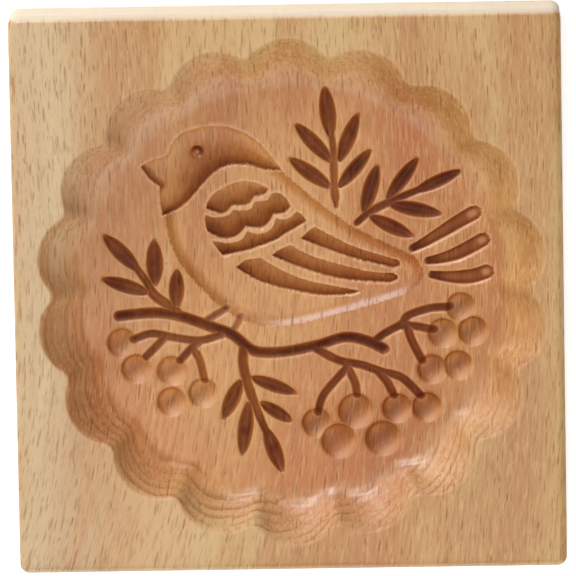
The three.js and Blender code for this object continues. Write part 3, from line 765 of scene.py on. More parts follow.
def cut_hollow(points, strokes, shallow, deep, power, walls, facet=None):
    """One hollow of the bird: where its points are in the list, their depth, how far they lie towards the
    deep edge, whether they are in its bed, how near its deepest corner is, and its painted highlight beside
    the arris."""
    ridge, foot = closed_outline(strokes["shallow"]), closed_outline(strokes["deep"])
    ridge, foot = np.vstack([ridge, foot[:1]]), np.vstack([foot, ridge[:1]])
    whole = np.vstack([ridge[:-1], foot[:-1]])
    at = near(points, whole, 1)
    from_ridge, _ = nearest_on(points[at], ridge)
    from_foot, _ = nearest_on(points[at], foot)
    sign = np.where(is_inside(points[at], whole), 1, -1)
    down = from_ridge / np.maximum(from_ridge + from_foot, 1e-6)
    bed = shallow + (deep - shallow) * down**power
    wall = np.minimum(cove(sign * from_ridge, walls[0]), cove(sign * from_foot, walls[1]))
    from_corner = np.hypot(*(points[at] - foot[-2]).T)
    if facet:
        from_facet, _ = nearest_on(points[at], smooth_line(facet, ARRIS_STEP))
        wall = np.minimum(wall, cove(sign * from_facet, FACET_WIDTH, 1.2))
        # The beak's facet takes the dark painted shade of a deep edge
        down = np.maximum(down, np.clip(1.4 - from_facet / FACET_WIDTH, 0, 1))
    from_edge = np.minimum(from_ridge, from_foot)
    # A painted highlight just outside the hollow's arrises
    light = painted_arris_highlight(from_edge) * (sign < 0) * (from_edge > 0)
    corner = np.exp(-((from_corner / CORNER_REACH) ** 2))
    return at, bed * wall, down, within_bed(sign * from_edge), corner, light


def cut_bird(points, layout):
    """The bird at each point: its depth below the floor, its painted shade, and its painted highlight beside
    the arrises.
    """
    sunk, dark, light = np.zeros((3, len(points)))
    outline = closed_outline(BODY)
    at = near(points, outline, 1)
    gap, _ = nearest_on(points[at], outline, closed=True)
    inside = np.where(is_inside(points[at], outline), gap, -gap)
    width = layout.mm("body_cove")
    sunk[at] = layout.mm("body_depth") * cove(inside, width, BODY_POWER)
    # Painted shade in the body's cove, darkest at its outline
    dark[at] = BODY_TONE * np.clip(1 - inside / width, 0, 1) * (inside > 0)

    # Painted shade in a bed, darker towards its deep edge and its deepest corner
    def tint(at, down, within, corner, arris, tone):
        base, rise, power = tone
        dark[at] = np.maximum(dark[at], within * (base + rise * down**power + CORNER_TONE * corner))
        light[at] = np.maximum(light[at], arris)

    crown, collar = layout.mm("crown_depth"), layout.mm("collar_depth")
    at, bed, *lie = cut_hollow(points, HEAD, crown, collar, *HEAD_BED, HEAD["shallow"][1])
    sunk[at] = np.maximum(sunk[at], bed)
    tint(at, *lie, HEAD_TONE)
    from_eye = np.hypot(*(points - EYE_CENTRE).T)
    eye = from_eye < layout.mm("eye_radius") + EYE_MARGIN
    middle = layout.mm("eye_radius") - EYE_HALF_RING
    ring = np.clip(1 - ((from_eye[eye] - middle) / EYE_HALF_RING) ** 2, 0, 1)
    around = sunk[eye].mean()
    # The ring is cut deeper, and given darker painted shade, on the side away from EYE_LIGHT_SIDE
    turned = (points[eye] - EYE_CENTRE) @ EYE_LIGHT_SIDE / np.maximum(from_eye[eye], 1e-6)
    ring *= np.clip(0.65 - 0.45 * turned, 0.15, 1)
    sunk[eye] = np.maximum(sunk[eye], around + (layout.mm("eye_depth") - around) * ring**0.6)
    dark[eye] = np.maximum(dark[eye], EYE_TONE * ring)
    foot = layout.mm("feather_foot")
    covert = layout.mm("covert_top"), foot * 1.15, *COVERT_BED
    flight = layout.mm("feather_top"), foot, *FLIGHT_BED
    wing = [(strokes, covert, tone) for strokes, tone in zip(COVERTS, COVERT_TONES)]
    wing += [(strokes, flight, FLIGHT_TONE) for strokes in FLIGHT_FEATHERS]
    for strokes, shape, tone in wing:
        at, bed, *lie = cut_hollow(points, strokes, *shape)
        sunk[at] += bed
        tint(at, *lie, tone)
    for line_points, widths in TAIL_FEATHERS:
        line = smooth_line(line_points, ARRIS_STEP)
        at = near(points, line, 4)
        gap, share = nearest_on(points[at], line)
        tip = np.clip((share - 1) / TAIL_ROUND_SHARE + 1, 0, 1)
        round_tip = np.sqrt(np.maximum(TAIL_ROUND_SHARE**2, 1 - tip**2))
        half = np.interp(share, (0, 0.5, 1), widths) / 2 * round_tip
        across = np.clip(gap / half, 0, 1)
        run = np.minimum(0.7 + 0.3 * gentle(share / 0.3), 0.3 + 0.7 * gentle((1 - share) / 0.45))
        bed = layout.mm("tail_depth") * run * cove(half - gap, TAIL_WALL) * (0.84 + 0.16 * across**2)
        sunk[at] = np.maximum(sunk[at], bed)
        # Painted shade in a tail feather, darker at its walls and its root, lightened by a painted highlight
        # near its tip
        patch = np.clip(1 - ((share - TAIL_PAINTED_HIGHLIGHT_AT) / TAIL_PAINTED_HIGHLIGHT_HALF) ** 2, 0, 1)
        patch *= np.clip(1.3 - 1.6 * across, 0, 1)
        root = 1 - gentle(share / TAIL_ROOT_SHARE)
        tone = 0.62 + 0.8 * across**3 + 0.9 * root - 0.25 * patch
        dark[at] = np.maximum(dark[at], tone * within_bed(half - gap))
        light[at] = np.maximum(light[at], painted_arris_highlight(gap - half))
    return sunk, dark, light * np.clip(1 - 8 * (dark - 0.5), 0, 1)


def block_loops(sizes):
    """Loops of points round the block from its face down to its back, each drawn in as its edge asks."""
    half = np.array([HIGH.x - LOW.x, HIGH.y - LOW.y]) / MM / 2
    centre = np.array([HIGH.x + LOW.x, HIGH.y + LOW.y]) / MM / 2
    thickness = FACE_HEIGHT / MM
    edge, corner = sizes.edge_round / MM, sizes.corner_radius / MM
    across, up = (max(2, round(2 * size / SIDE_STEP)) for size in half - corner)
    pivots = centre + np.array([(1, -1), (1, 1), (-1, 1), (-1, -1)]) * (half - corner)

    def loop(inset, height):
        quarter = np.linspace(-90, 0, BEND_POINTS)
        bends = [arc(pivot, corner - inset, np.radians(quarter + 90 * k)) for k, pivot in enumerate(pivots)]
        ring = []
        for bend, following, count in zip(bends, (*bends[1:], bends[0]), (up, across, up, across)):
            run = np.linspace(0, 1, count + 1)[1:-1, None]
            ring += [bend, bend[-1] + (following[0] - bend[-1]) * run]
        flat = np.vstack(ring)
        return np.column_stack([flat, np.full(len(flat), height)])

    turns = np.radians(np.linspace(0, 90, BEND_POINTS))
    loops = [loop(edge * (1 - math.sin(t)), thickness - edge * (1 - math.cos(t))) for t in turns]
    loops += [loop(0, height) for height in np.linspace(thickness - edge, edge, SIDE_LOOPS + 2)[1:-1]]
    return loops + [loop(edge * (1 - math.cos(t)), edge * (1 - math.sin(t))) for t in turns]


def grid_inside(loop, step):
    """A grid of points well inside a loop."""
    low, high = loop.min(0) + step, loop.max(0) - step
    counts = np.maximum(2, np.round((high - low) / step).astype(int))
    xs, ys = (np.linspace(low[k], high[k], counts[k]) for k in (0, 1))
    return np.array([(x, y) for y in ys for x in xs])


def triangulate(points):
    """Delaunay triangles over points in the plane, anticlockwise seen from above."""
    made = delaunay_2d_cdt([Vector(p) for p in points], [], [], 0, 1e-7)
    return np.array([p[:] for p in made[0]]), [tuple(face) for face in made[2]]


def build_blank(sizes):
    """The uncarved block as one closed mesh, with the bird's depth and tones stored on its face."""
    layout = Layout(sizes)
    loops = block_loops(sizes)
    top, bottom = loops[0][:, :2], loops[-1][:, :2]
    shift = np.array([sizes.figure_off_centre / MM, 0])
    margin = grid_inside(top, MARGIN_STEP)
    clear = np.hypot(*(margin - shift - layout.basin).T) > layout.mm("rim_radius") + MARGIN_CLEARANCE
    face_points = np.vstack([top, layout.lay_all() + shift, margin[clear]])
    flat, faces = triangulate(face_points)
    if len(flat) != len(face_points):
        raise RuntimeError("the face's points did not stay as they were laid")
    back_flat, back = triangulate(np.vstack([bottom, grid_inside(bottom, 2 * MARGIN_STEP)]))
    layers = [
        np.column_stack([flat, np.full(len(flat), FACE_HEIGHT / MM)]),
        *loops[1:-1],
        np.column_stack([back_flat, np.zeros(len(back_flat))]),
    ]
    starts = np.cumsum([0, *(len(layer) for layer in layers[:-1])]).tolist()
    faces += [tuple(starts[-1] + i for i in reversed(triangle)) for triangle in back]
    for above, below in zip(starts, starts[1:]):
        for i in range(len(top)):
            j = (i + 1) % len(top)
            faces.append((above + i, below + i, below + j, above + j))
    vertices = np.vstack(layers) * MM
    mesh = bpy.data.meshes.new("mould_blank")
    mesh.from_pydata(vertices.tolist(), [], faces)
    sunk, dark, light = cut_bird(flat - shift, layout)
    # sunk is the bird's depth, dark its painted shade, and light its painted highlight beside the arrises
    for name, values in (("sunk", sunk * MM), ("dark", dark), ("light", light)):
        whole = np.zeros(len(vertices), np.float32)
        whole[: len(values)] = values
        mesh.attributes.new(name, "FLOAT", "POINT").data.foreach_set("value", whole)
    mesh.validate()
    return mesh


def on_face(sizes, point):
    """A point of the figure as a place on the block's face, in metres."""
    return (*(np.array(point) + (sizes.figure_off_centre / MM, 0)) * MM, FACE_HEIGHT)


def linked(made):
    """An object, once it is in the scene."""
    bpy.context.scene.collection.objects.link(made)
    return made


def lines_object(name, lines, sizes, values=None):
    """A helper whose edges follow lines of the figure, with a value on each edge for each named list."""
    points, edges = [], []
    for line in lines:
        start = len(points)
        points += [on_face(sizes, p) for p in line]
        edges += [(start + i, start + i + 1) for i in range(len(line) - 1)]
    mesh = bpy.data.meshes.new(name)
    mesh.from_pydata(points, edges, [])
    for label, per_edge in (values or {}).items():
        kind, field = ("FLOAT", "value") if np.ndim(per_edge[0]) == 0 else ("FLOAT_VECTOR", "vector")
        data = mesh.attributes.new(label, kind, "EDGE").data
        data.foreach_set(field, np.array(per_edge, np.float32).ravel())
    return linked(bpy.data.objects.new(name, mesh))


def helper_mesh(tree, helper):
    """The mesh of a helper object."""
    return add(tree, "GeometryNodeObjectInfo", {"Object": helper}).outputs["Geometry"]


def named(tree, name, kind="FLOAT"):
    """A stored attribute of the mesh."""
    node = add(tree, "GeometryNodeInputNamedAttribute", {"Name": name}, data_type=kind)
    return Number(tree, node.outputs["Attribute"])


def here(tree):
    """The place of the point being cut."""
    return add(tree, "GeometryNodeInputPosition").outputs[0]


def on_nearest_edge(tree, mesh, attribute, kind="FLOAT"):
    """The value of an attribute at the edge of a helper that lies nearest."""
    index = add(tree, "GeometryNodeSampleNearest", {"Geometry": mesh}, domain="EDGE").outputs["Index"]
    inputs = {"Geometry": mesh, "Value": named(tree, attribute, kind), "Index": index}
    node = add(tree, "GeometryNodeSampleIndex", inputs, data_type=kind, domain="EDGE")
    return Number(tree, node.outputs["Value"])


def eased_nodes(inside):
    """The same easing at an arris as the bird has, as nodes."""
    ease = ARRIS_EASE * MM
    return (inside + (inside * inside + ease**2).math("SQRT")) * 0.5


def painted_arris_highlight_nodes(outside):
    """A painted highlight: 1 just outside an arris, dying away further out."""
    return outside.ramp(PAINTED_HIGHLIGHT_START * MM, PAINTED_HIGHLIGHT_END * MM, 1.0, 0.0) * outside.ramp(-0.1 * MM, 0.1 * MM)


def groove_group():
    """A node group that cuts a groove along the lines of a helper."""
    tree, start, end = new_group(
        "Groove Along Lines", "GeometryNodeTree", {"Lines": OBJECT, "Depth": FLOAT, "Flat Share": FLOAT},
        {"Sunk": FLOAT, "Painted Highlight": FLOAT}, {"Flat Share": GROOVE_FLAT_SHARE},
    )
    lines = helper_mesh(tree, start["Lines"])
    nearest = add(tree, "GeometryNodeProximity", {"Geometry": lines}, target_element="EDGES")
    reach = Number(tree, nearest.outputs["Distance"])
    half, depth_share = (on_nearest_edge(tree, lines, name) for name in ("half_width", "depth_share"))
    share = (eased_nodes(half - reach) / (half * (1 - start["Flat Share"]))).math("MINIMUM", 1.0)
    coved = 1 - (1 - share) ** GROOVE_POWER
    plug(tree, coved * start["Depth"] * depth_share, end["Sunk"])
    plug(tree, painted_arris_highlight_nodes(reach - half), end["Painted Highlight"])
    return tree


def dish_group():
    """A node group that cuts a round dish at each point of a helper, a ball's cap that fades to one side."""
    tree, start, end = new_group(
        "Round Dishes", "GeometryNodeTree", {"Places": OBJECT, "Radius": FLOAT, "Depth": FLOAT},
        {"Sunk": FLOAT, "Painted Highlight": FLOAT, "Tone": FLOAT},
    )
    places = helper_mesh(tree, start["Places"])
    nearest = add(tree, "GeometryNodeProximity", {"Geometry": places}, target_element="POINTS").outputs
    away, radius, depth = Number(tree, nearest["Distance"]), start["Radius"], start["Depth"]
    ball = (radius * radius + depth * depth) / (depth * 2)
    sag = (ball * ball - away * away).math("MAXIMUM", 0.0).math("SQRT")
    full = (eased_nodes(sag - (ball - depth)) / depth).math("MAXIMUM", 0.0) ** DISH_POWER * depth
    apart = vectors(tree, "SUBTRACT", here(tree), nearest["Position"])
    along = vectors(tree, "DOT_PRODUCT", apart, DISH_FADE_SIDE) / radius
    edge = DISH_EDGE * MM
    plug(tree, full * along.ramp(-1.0, 1.0, 1.2, 0.35) * (radius + edge - away).ramp(0, edge), end["Sunk"])
    out = away / radius
    # Painted shade in the dish, with a dark crescent along its edge on the upper left
    crescent = out.ramp(0.68, 0.95) * along.ramp(0.15, -0.7)
    tone = along.ramp(0.75, 0.0, 0.35, 0.75) * along.ramp(-0.7, 0.0, 0.4, 1.0) + crescent
    plug(tree, tone * out.ramp(0.94, 1.02, 1.0, 0.0), end["Tone"])
    # A painted highlight along the dish's edge on the lower right
    plug(tree, along.ramp(0.3, 0.8) * out.ramp(0.85, 1.15, 1.0, 0.0), end["Painted Highlight"])
    return tree


def leaf_group():
    """A node group that cuts pointed leaves, two beds with a midrib between, along single edges."""
    tree, start, end = new_group(
        "Leaf Cuts", "GeometryNodeTree", {"Leaves": OBJECT, "Width": FLOAT, "Depth": FLOAT, "Midrib": FLOAT},
        {"Sunk": FLOAT, "Painted Highlight": FLOAT},
    )
    leaves = helper_mesh(tree, start["Leaves"])
    tip, base = (on_nearest_edge(tree, leaves, name, "FLOAT_VECTOR") for name in ("tip", "base"))
    fullness = on_nearest_edge(tree, leaves, "fullness")
    span, away = vectors(tree, "SUBTRACT", base, tip), vectors(tree, "SUBTRACT", here(tree), tip)
    reach = vectors(tree, "LENGTH", span)
    off = vectors(tree, "LENGTH", vectors(tree, "CROSS_PRODUCT", span, away)) / reach
    share = vectors(tree, "DOT_PRODUCT", span, away) / (reach * reach)
    round_middle = (share.clamped() * math.pi).math("SINE").math("MAXIMUM", 0.0)
    full = (round_middle**LEAF_FULLNESS_POWER).math("MAXIMUM", LEAF_POINT_SHARE)
    half = start["Width"] * fullness * full * 0.5
    rise = (off / half).ramp(0.0, MIDRIB_SHARE, start["Midrib"], start["Depth"])
    wall = (eased_nodes(half - off) / (half * LEAF_WALL_SHARE)).math("MINIMUM", 1.0).math("MAXIMUM", 0.0)
    ends = share.ramp(-0.02, 0.0) * share.ramp(1.0, 1.02, 1.0, 0.0)
    plug(tree, rise * full.math("SQRT") * (1 - (1 - wall) ** LEAF_POWER) * ends, end["Sunk"])
    plug(tree, painted_arris_highlight_nodes(off - half) * ends, end["Painted Highlight"])
    return tree


# The sizes that the basin's group and the rest of the carving take as inputs
BASIN_SIZES = (
    "basin_depth", "basin_off_centre", "rim_radius", "lobe_radius", "lobe_count", "cusp_ease", "wall_width",
    "wall_turn", "foot_lobe_depth", "gouge_pitch", "gouge_height",
)
FIGURE_SIZES = (
    "berry_radius", "large_berry_radius", "berry_depth", "leaf_width", "leaf_depth", "midrib_depth",
    "stem_depth", "twig_depth", "unevenness",
)


def socket_name(size):
    """The name of the input that takes a size."""
    return size.replace("_", " ").title()


def basin_group():
    """A node group for the depth of the lobed basin, with the ridges that the gouge left on its wall."""
    tree, start, end = new_group(
        "Lobed Basin", "GeometryNodeTree", {socket_name(size): FLOAT for size in BASIN_SIZES},
        {"Depth": FLOAT, "Wall": FLOAT, "Painted Highlight": FLOAT},
    )
    depth, shift, rim_radius, lobe, lobes, ease, width, turn_power, foot_depth, pitch_down, ridge = (
        start[socket_name(size)] for size in BASIN_SIZES
    )
    position = here(tree)
    x, y, _ = parts(tree, position)
    x = x - shift
    angle = x.math("ARCTAN2", y)
    pitch = lobes.math("POWER", -1.0) * (2 * math.pi)
    centre = rim_radius - lobe

    def lobe_reach(turn):
        off = turn - pitch * (turn / pitch).math("ROUND")
        rise = centre * off.math("SINE")
        return centre * off.math("COSINE") + (lobe * lobe - rise * rise).math("SQRT")

    rim = (lobe_reach(angle - ease) + lobe_reach(angle) + lobe_reach(angle + ease)) / 3
    lobe_fall = rim_radius - lobe_reach(pitch * 0.5)
    foot = rim_radius - width - (rim_radius - rim) * (foot_depth / lobe_fall)

    def fall(inside):
        share = (inside / (rim - foot)).clamped()
        return 0.5 - ((share**turn_power) * math.pi).math("COSINE") * 0.5

    inside = rim - (x * x + y * y).math("SQRT")
    first, *others = (fall(inside + step * MM) for step in WALL_SAMPLES)
    down = sum(others, first) * (1 / len(WALL_SAMPLES))
    wander = noise(tree, position, GOUGE_WANDER_SCALE, 1.0) * 1.5
    passes = (down * depth / pitch_down + wander) * (2 * math.pi)
    share = (inside / (rim - foot)).clamped()
    on_wall = share.ramp(0.0, 0.06) * share.ramp(0.8, 1.0, 1.0, 0.0)
    lower = (y * -1.0 - x * 0.2).ramp(4 * MM, 38 * MM, 0.1, 1.0)
    plug(tree, down * depth + passes.math("COSINE") * ridge * on_wall * lower, end["Depth"])
    plug(tree, on_wall, end["Wall"])
    # A painted highlight just outside the rim
    plug(tree, painted_arris_highlight_nodes(inside * -1.0), end["Painted Highlight"])
    return tree


# The narrow cuts: the helper they follow, the input with their depth, and how dark they are
# Their darkness is partly darker wood and partly painted shade
GROOVES = (("Branch", "Twig Depth", 1.3), ("Twigs", "Twig Depth", 0.88), ("Stems", "Stem Depth", 0.85))
HELPERS = ("Berries", "Large Berries", "Leaves", *(helper for helper, _, _ in GROOVES))
LEAF_CUT_TONE = 0.91
RIM_PAINTED_HIGHLIGHT = 0.45
FACE_TOLERANCE = 1e-5

# The scales of the noises that let the gouge wander and that leave the basin uneven
GOUGE_WANDER_SCALE = 60.0
WAVE_SCALE = 130.0


def carve_tree():
    """The whole cut: the basin, then the deepest of the bird, berries, leaves and twigs below its floor."""
    tree, start, end = new_group(
        "Carved Mould", "GeometryNodeTree",
        {
            "Blank": GEOMETRY, **dict.fromkeys(HELPERS, OBJECT), "Face Height": FLOAT,
            **{socket_name(size): FLOAT for size in FIGURE_SIZES + BASIN_SIZES},
            "Material": "NodeSocketMaterial",
        },
        {"Mould": GEOMETRY},
    )

    def cut(group, wired):
        inputs = {label: start[source] for label, source in wired.items()}
        outputs = add(tree, "GeometryNodeGroup", inputs, node_tree=group).outputs
        return {socket.name: Number(tree, socket) for socket in outputs}

    basin = cut(basin_group(), {socket_name(size): socket_name(size) for size in BASIN_SIZES})
    dish, groove = dish_group(), groove_group()
    dishes = [
        cut(dish, {"Places": places, "Radius": radius, "Depth": "Berry Depth"})
        for places, radius in (("Berries", "Berry Radius"), ("Large Berries", "Large Berry Radius"))
    ]
    cuts = [(cut(groove, {"Lines": lines, "Depth": depth}), tone) for lines, depth, tone in GROOVES]
    wired = {"Leaves": "Leaves", "Width": "Leaf Width", "Depth": "Leaf Depth", "Midrib": "Midrib Depth"}
    cuts.append((cut(leaf_group(), wired), LEAF_CUT_TONE))
    sunk, dark, light = (named(tree, name) for name in ("sunk", "dark", "light"))
    everything = [*dishes, *(made for made, _ in cuts)]
    figure = greatest(sunk, *(made["Sunk"] for made in everything))
    # The painted highlight beside the arrises of the bird, the rim, the berries and the narrow cuts
    arris = greatest(light, basin["Painted Highlight"] * RIM_PAINTED_HIGHLIGHT, *(made["Painted Highlight"] for made in everything))
    _, _, height = parts(tree, here(tree))
    on_top = height.math("COMPARE", start["Face Height"], FACE_TOLERANCE)
    basin_share = basin["Depth"] / start["Basin Depth"]
    waves = noise(tree, here(tree), WAVE_SCALE) * start["Unevenness"] * 2 * basin_share
    drop = (basin["Depth"] + figure + waves) * on_top
    # How deep the narrow cuts are, for their darker wood and painted shade
    tones = greatest(*(made["Sunk"] * tone for made, tone in cuts))
    cut_tone_and_shade = tones / start["Leaf Depth"] * on_top
    arris = arris * cut_tone_and_shade.ramp(0.0, 0.15, 1.0, 0.0)
    geometry = start["Blank"]
    stored = {
        "groove": cut_tone_and_shade, "hollow": dark * on_top, "wall": basin["Wall"] * on_top, "arris": arris * on_top,
        "dish": greatest(*(made["Tone"] for made in dishes)) * on_top, "depth": basin_share * on_top,
    }
    for label, value in stored.items():
        inputs = {"Geometry": geometry, "Name": label, "Value": value}
        store = add(tree, "GeometryNodeStoreNamedAttribute", inputs, data_type="FLOAT", domain="POINT")
        geometry = store.outputs["Geometry"]
    down = vector(tree, 0.0, 0.0, drop * -1.0)
    moved = add(tree, "GeometryNodeSetPosition", {"Geometry": geometry, "Offset": down}).outputs[0]
    real = add(tree, "GeometryNodeRealizeInstances", {"Geometry": moved}).outputs[0]
    coated = add(tree, "GeometryNodeSetMaterial", {"Geometry": real, "Material": start["Material"]})
    plug(tree, coated.outputs[0], end["Mould"])
    return tree


def set_inputs(modifier, values):
    """Sets a Geometry Nodes modifier's inputs by the names of their sockets."""
    for item in modifier.node_group.interface.items_tree:
        if item.item_type == "SOCKET" and item.in_out == "INPUT" and item.name in values:
            modifier[item.identifier] = values[item.name]


def groove_object(name, grooves, sizes):
    """A helper for grooves, each a line, its widths in millimetres and its share of the depth."""
    lines, half, depth_share = [], [], []
    for points, widths, share in grooves:
        lines.append(smooth_line(points, ARRIS_STEP))
        steps = len(lines[-1]) - 1
        middles = (np.arange(steps) + 0.5) / steps
        half += list(np.interp(middles, np.linspace(0, 1, len(widths)), widths) / 2 * MM)
        depth_share += [share] * steps
    return lines_object(name, lines, sizes, {"half_width": half, "depth_share": depth_share})


def carve(sizes, material):
    """The finished mould as a plain mesh object at the origin."""
    leaves = [leaf for *_, sprig in SPRIGS for leaf in sprig]
    tips, bases = ([on_face(sizes, leaf[k:k + 2]) for leaf in leaves] for k in (0, 2))
    leaf_values = {"tip": tips, "base": bases, "fullness": [leaf[4] for leaf in leaves]}
    branch, twig = [sizes.branch_width / MM], [sizes.twig_width / MM]
    helpers = {
        "Berries": lines_object("berry_places", [[place] for place in BERRIES], sizes),
        "Large Berries": lines_object("large_berry_places", [[place] for place in LARGE_BERRIES], sizes),
        "Leaves": lines_object("leaf_lines", [(leaf[:2], leaf[2:4]) for leaf in leaves], sizes, leaf_values),
        "Branch": groove_object("branch_line", [(BRANCH, branch, 1)], sizes),
        "Twigs": groove_object("twig_lines", [(line, twig, share) for line, share in TWIGS], sizes),
        "Stems": groove_object("stem_lines", [sprig[:3] for sprig in SPRIGS], sizes),
    }
    blank = linked(bpy.data.objects.new("mould_blank", build_blank(sizes)))
    modifier = blank.modifiers.new("Carve", "NODES")
    modifier.node_group = carve_tree()
    numbers = {socket_name(size): float(getattr(sizes, size)) for size in FIGURE_SIZES + BASIN_SIZES}
    set_inputs(modifier, {**helpers, **numbers, "Face Height": FACE_HEIGHT, "Material": material})
    bpy.context.view_layer.update()
    graph = bpy.context.evaluated_depsgraph_get()
    mesh = bpy.data.meshes.new_from_object(blank.evaluated_get(graph))
    blank.modifiers.clear()
    for helper in (*helpers.values(), blank):
        bpy.data.objects.remove(helper)
    mesh.name = "carved_mould"
    if not mesh.materials:
        mesh.materials.append(material)
    mesh.shade_smooth()
    return linked(bpy.data.objects.new("carved_mould", mesh))


# The beech's figure, in millimetres: its rings' middle, and how the fibres lean in the lower part
RING_SPACING = 2.0
RING_MIDDLE = (-25.0, -92.0)
LEAN_START = 20.0
LEAN = 0.0014
FLECK_LENGTH, FLECK_WIDTH = 2.0, 0.27

# Ray flecks: the width and length of their cells, their size, the share of cells with one, and a seed
LARGE_FLECKS = (3.1, 6.6, 1.0, 0.72, 3.1)
SMALL_FLECKS = (1.9, 3.9, 0.62, 0.65, 11.7)


def grain_group():
    """A node group for flat-sawn beech: its rings, broad bands, fibre streaks and ray flecks.

    Millimetres. The grain runs along Y, and the rings are shells round an axis far under the block, so that
    they lie nearly flat under the face and come out as contour lines on the coved wall.
    """
    names = ("Bands", "Rings", "Streaks", "Flecks", "Height", "Patches", "Shine")
    tree, start, end = new_group(
        "Beech Figure", "ShaderNodeTree",
        {"Position": VECTOR, "Ring Spacing": FLOAT, "Fleck Length": FLOAT, "Fleck Width": FLOAT},
        dict.fromkeys(names, FLOAT),
        {"Ring Spacing": RING_SPACING, "Fleck Length": FLECK_LENGTH, "Fleck Width": FLECK_WIDTH},
    )
    x, y, z = parts(tree, start["Position"])

    def figure(across, along, deep, detail, roughness=0.5):
        return noise(tree, vector(tree, across, along, deep), 1.0, detail, roughness)

    low = (LEAN_START - y).math("MAXIMUM", 0.0)
    left = (x * -1.0).ramp(-50.0, 60.0, 0.35, 1.0)
    wander = (figure(x * 0.012, y * 0.006, z * 0.012, 2.0) - 0.5) * 7.0
    across = x + low * low * left * LEAN + wander
    off_axis, deep = across - RING_MIDDLE[0], z - RING_MIDDLE[1]
    ring_radius = (off_axis * off_axis + deep * deep).math("SQRT")
    ripple = (figure(across * 0.06, y * 0.022, z * 0.06, 2.0) - 0.5) * 4.5
    phase = ((ring_radius + ripple) / start["Ring Spacing"]).math("FRACT")
    patch = figure(across * 0.05, y * 0.05, ring_radius * 0.7, 1.0)
    weight = patch.ramp(0.35, 0.62, 0.25, 1.0) * (y * -1.0 - x * 0.5).ramp(-40.0, 25.0, 0.25, 1.0)
    late = phase.ramp(0.35, 0.85) * phase.ramp(0.9, 1.0, 1.0, 0.0) * weight
    bands = figure(across * 0.05, y * 0.006, z * 0.02, 3.0, 0.55)
    fibre = figure(across * 1.25, y * 0.13, z * 1.25, 4.0, 0.66)
    patches = figure(across * 0.075, y * 0.006, z * 0.03, 1.0).ramp(0.46, 0.54)

    def flecks(cell_x, cell_y, size, keep, seed):
        cells = vector(tree, across / cell_x + seed, y / cell_y + seed * 0.7, z / 16.0 + seed)
        nearest = add(tree, "ShaderNodeTexVoronoi", {"Vector": cells, "Scale": 1.0, "Randomness": 1.0},
                      voronoi_dimensions="3D", feature="F1").outputs
        gap_x, gap_y, _ = parts(tree, vectors(tree, "SUBTRACT", nearest["Position"], cells))
        luck, length_share, strength = parts(tree, nearest["Color"], "ShaderNodeSeparateColor")
        half_long = start["Fleck Length"] * size * (length_share * 0.9 + 0.55)
        half_wide = start["Fleck Width"] * size * (length_share * 0.5 + 0.75)
        gx, gy = gap_x * cell_x / half_wide, gap_y * cell_y / half_long
        away = (gx * gx + gy * gy).math("SQRT")
        chosen = luck.math("LESS_THAN", keep) * (strength * 0.7 + 0.3)
        beside = away.ramp(1.0, 1.5) * away.ramp(1.7, 2.6, 1.0, 0.0)
        return away.ramp(0.4, 1.2, 1.0, 0.0) * chosen, beside * chosen

    large, beside_large = flecks(*LARGE_FLECKS)
    small, beside_small = flecks(*SMALL_FLECKS)
    marks = greatest(large, small * 0.7)
    height = fibre * 0.35 - marks * 0.55 + late * 0.12
    shine = greatest(beside_large, beside_small * 0.5)
    for name, value in zip(names, (bands, late, fibre, marks, height, patches, shine)):
        plug(tree, value, end[name])
    return tree


def emptied(owner):
    """The node tree of a material or a world, with nothing in it."""
    owner.use_nodes = True
    owner.node_tree.nodes.clear()
    return owner.node_tree


# These tints are partly stain and partly painted shade: darker sides of the wall, and painted shadow on the
# floor at the wall's foot
# Tints of the basin: the part they lie on, the tint, its bearing and reach in degrees, and its strength
BASIN_TINTS = (
    ("wall", "stain_and_shade", 238, 35, 1.0),
    ("upper wall", "stain_and_shade", 268, 29, 1.0),
    ("rim", "rim_stain_and_shade", 268, 34, 1.0),
    ("lower wall", "rim_stain_and_shade", 58, 32, 1.0),
    ("floor edge", "stain_and_shade", 40, 60, 1.0),
    ("floor edge", "stain_and_shade", 228, 30, 0.7),
    ("outer floor", "rim_stain_and_shade", 100, 55, 1.0),
    ("wall", "stain_and_shade", 5, 44, 0.5),
)

# How far right the basin lies, and how near an end the end grain starts and over what run, in millimetres
BASIN_SHIFT = 0.8
END_GRAIN_START = 1.6
END_GRAIN_RUN = 1.2

# How deep the finest figure of the wood is felt, in metres
BUMP_HEIGHT = 0.00008


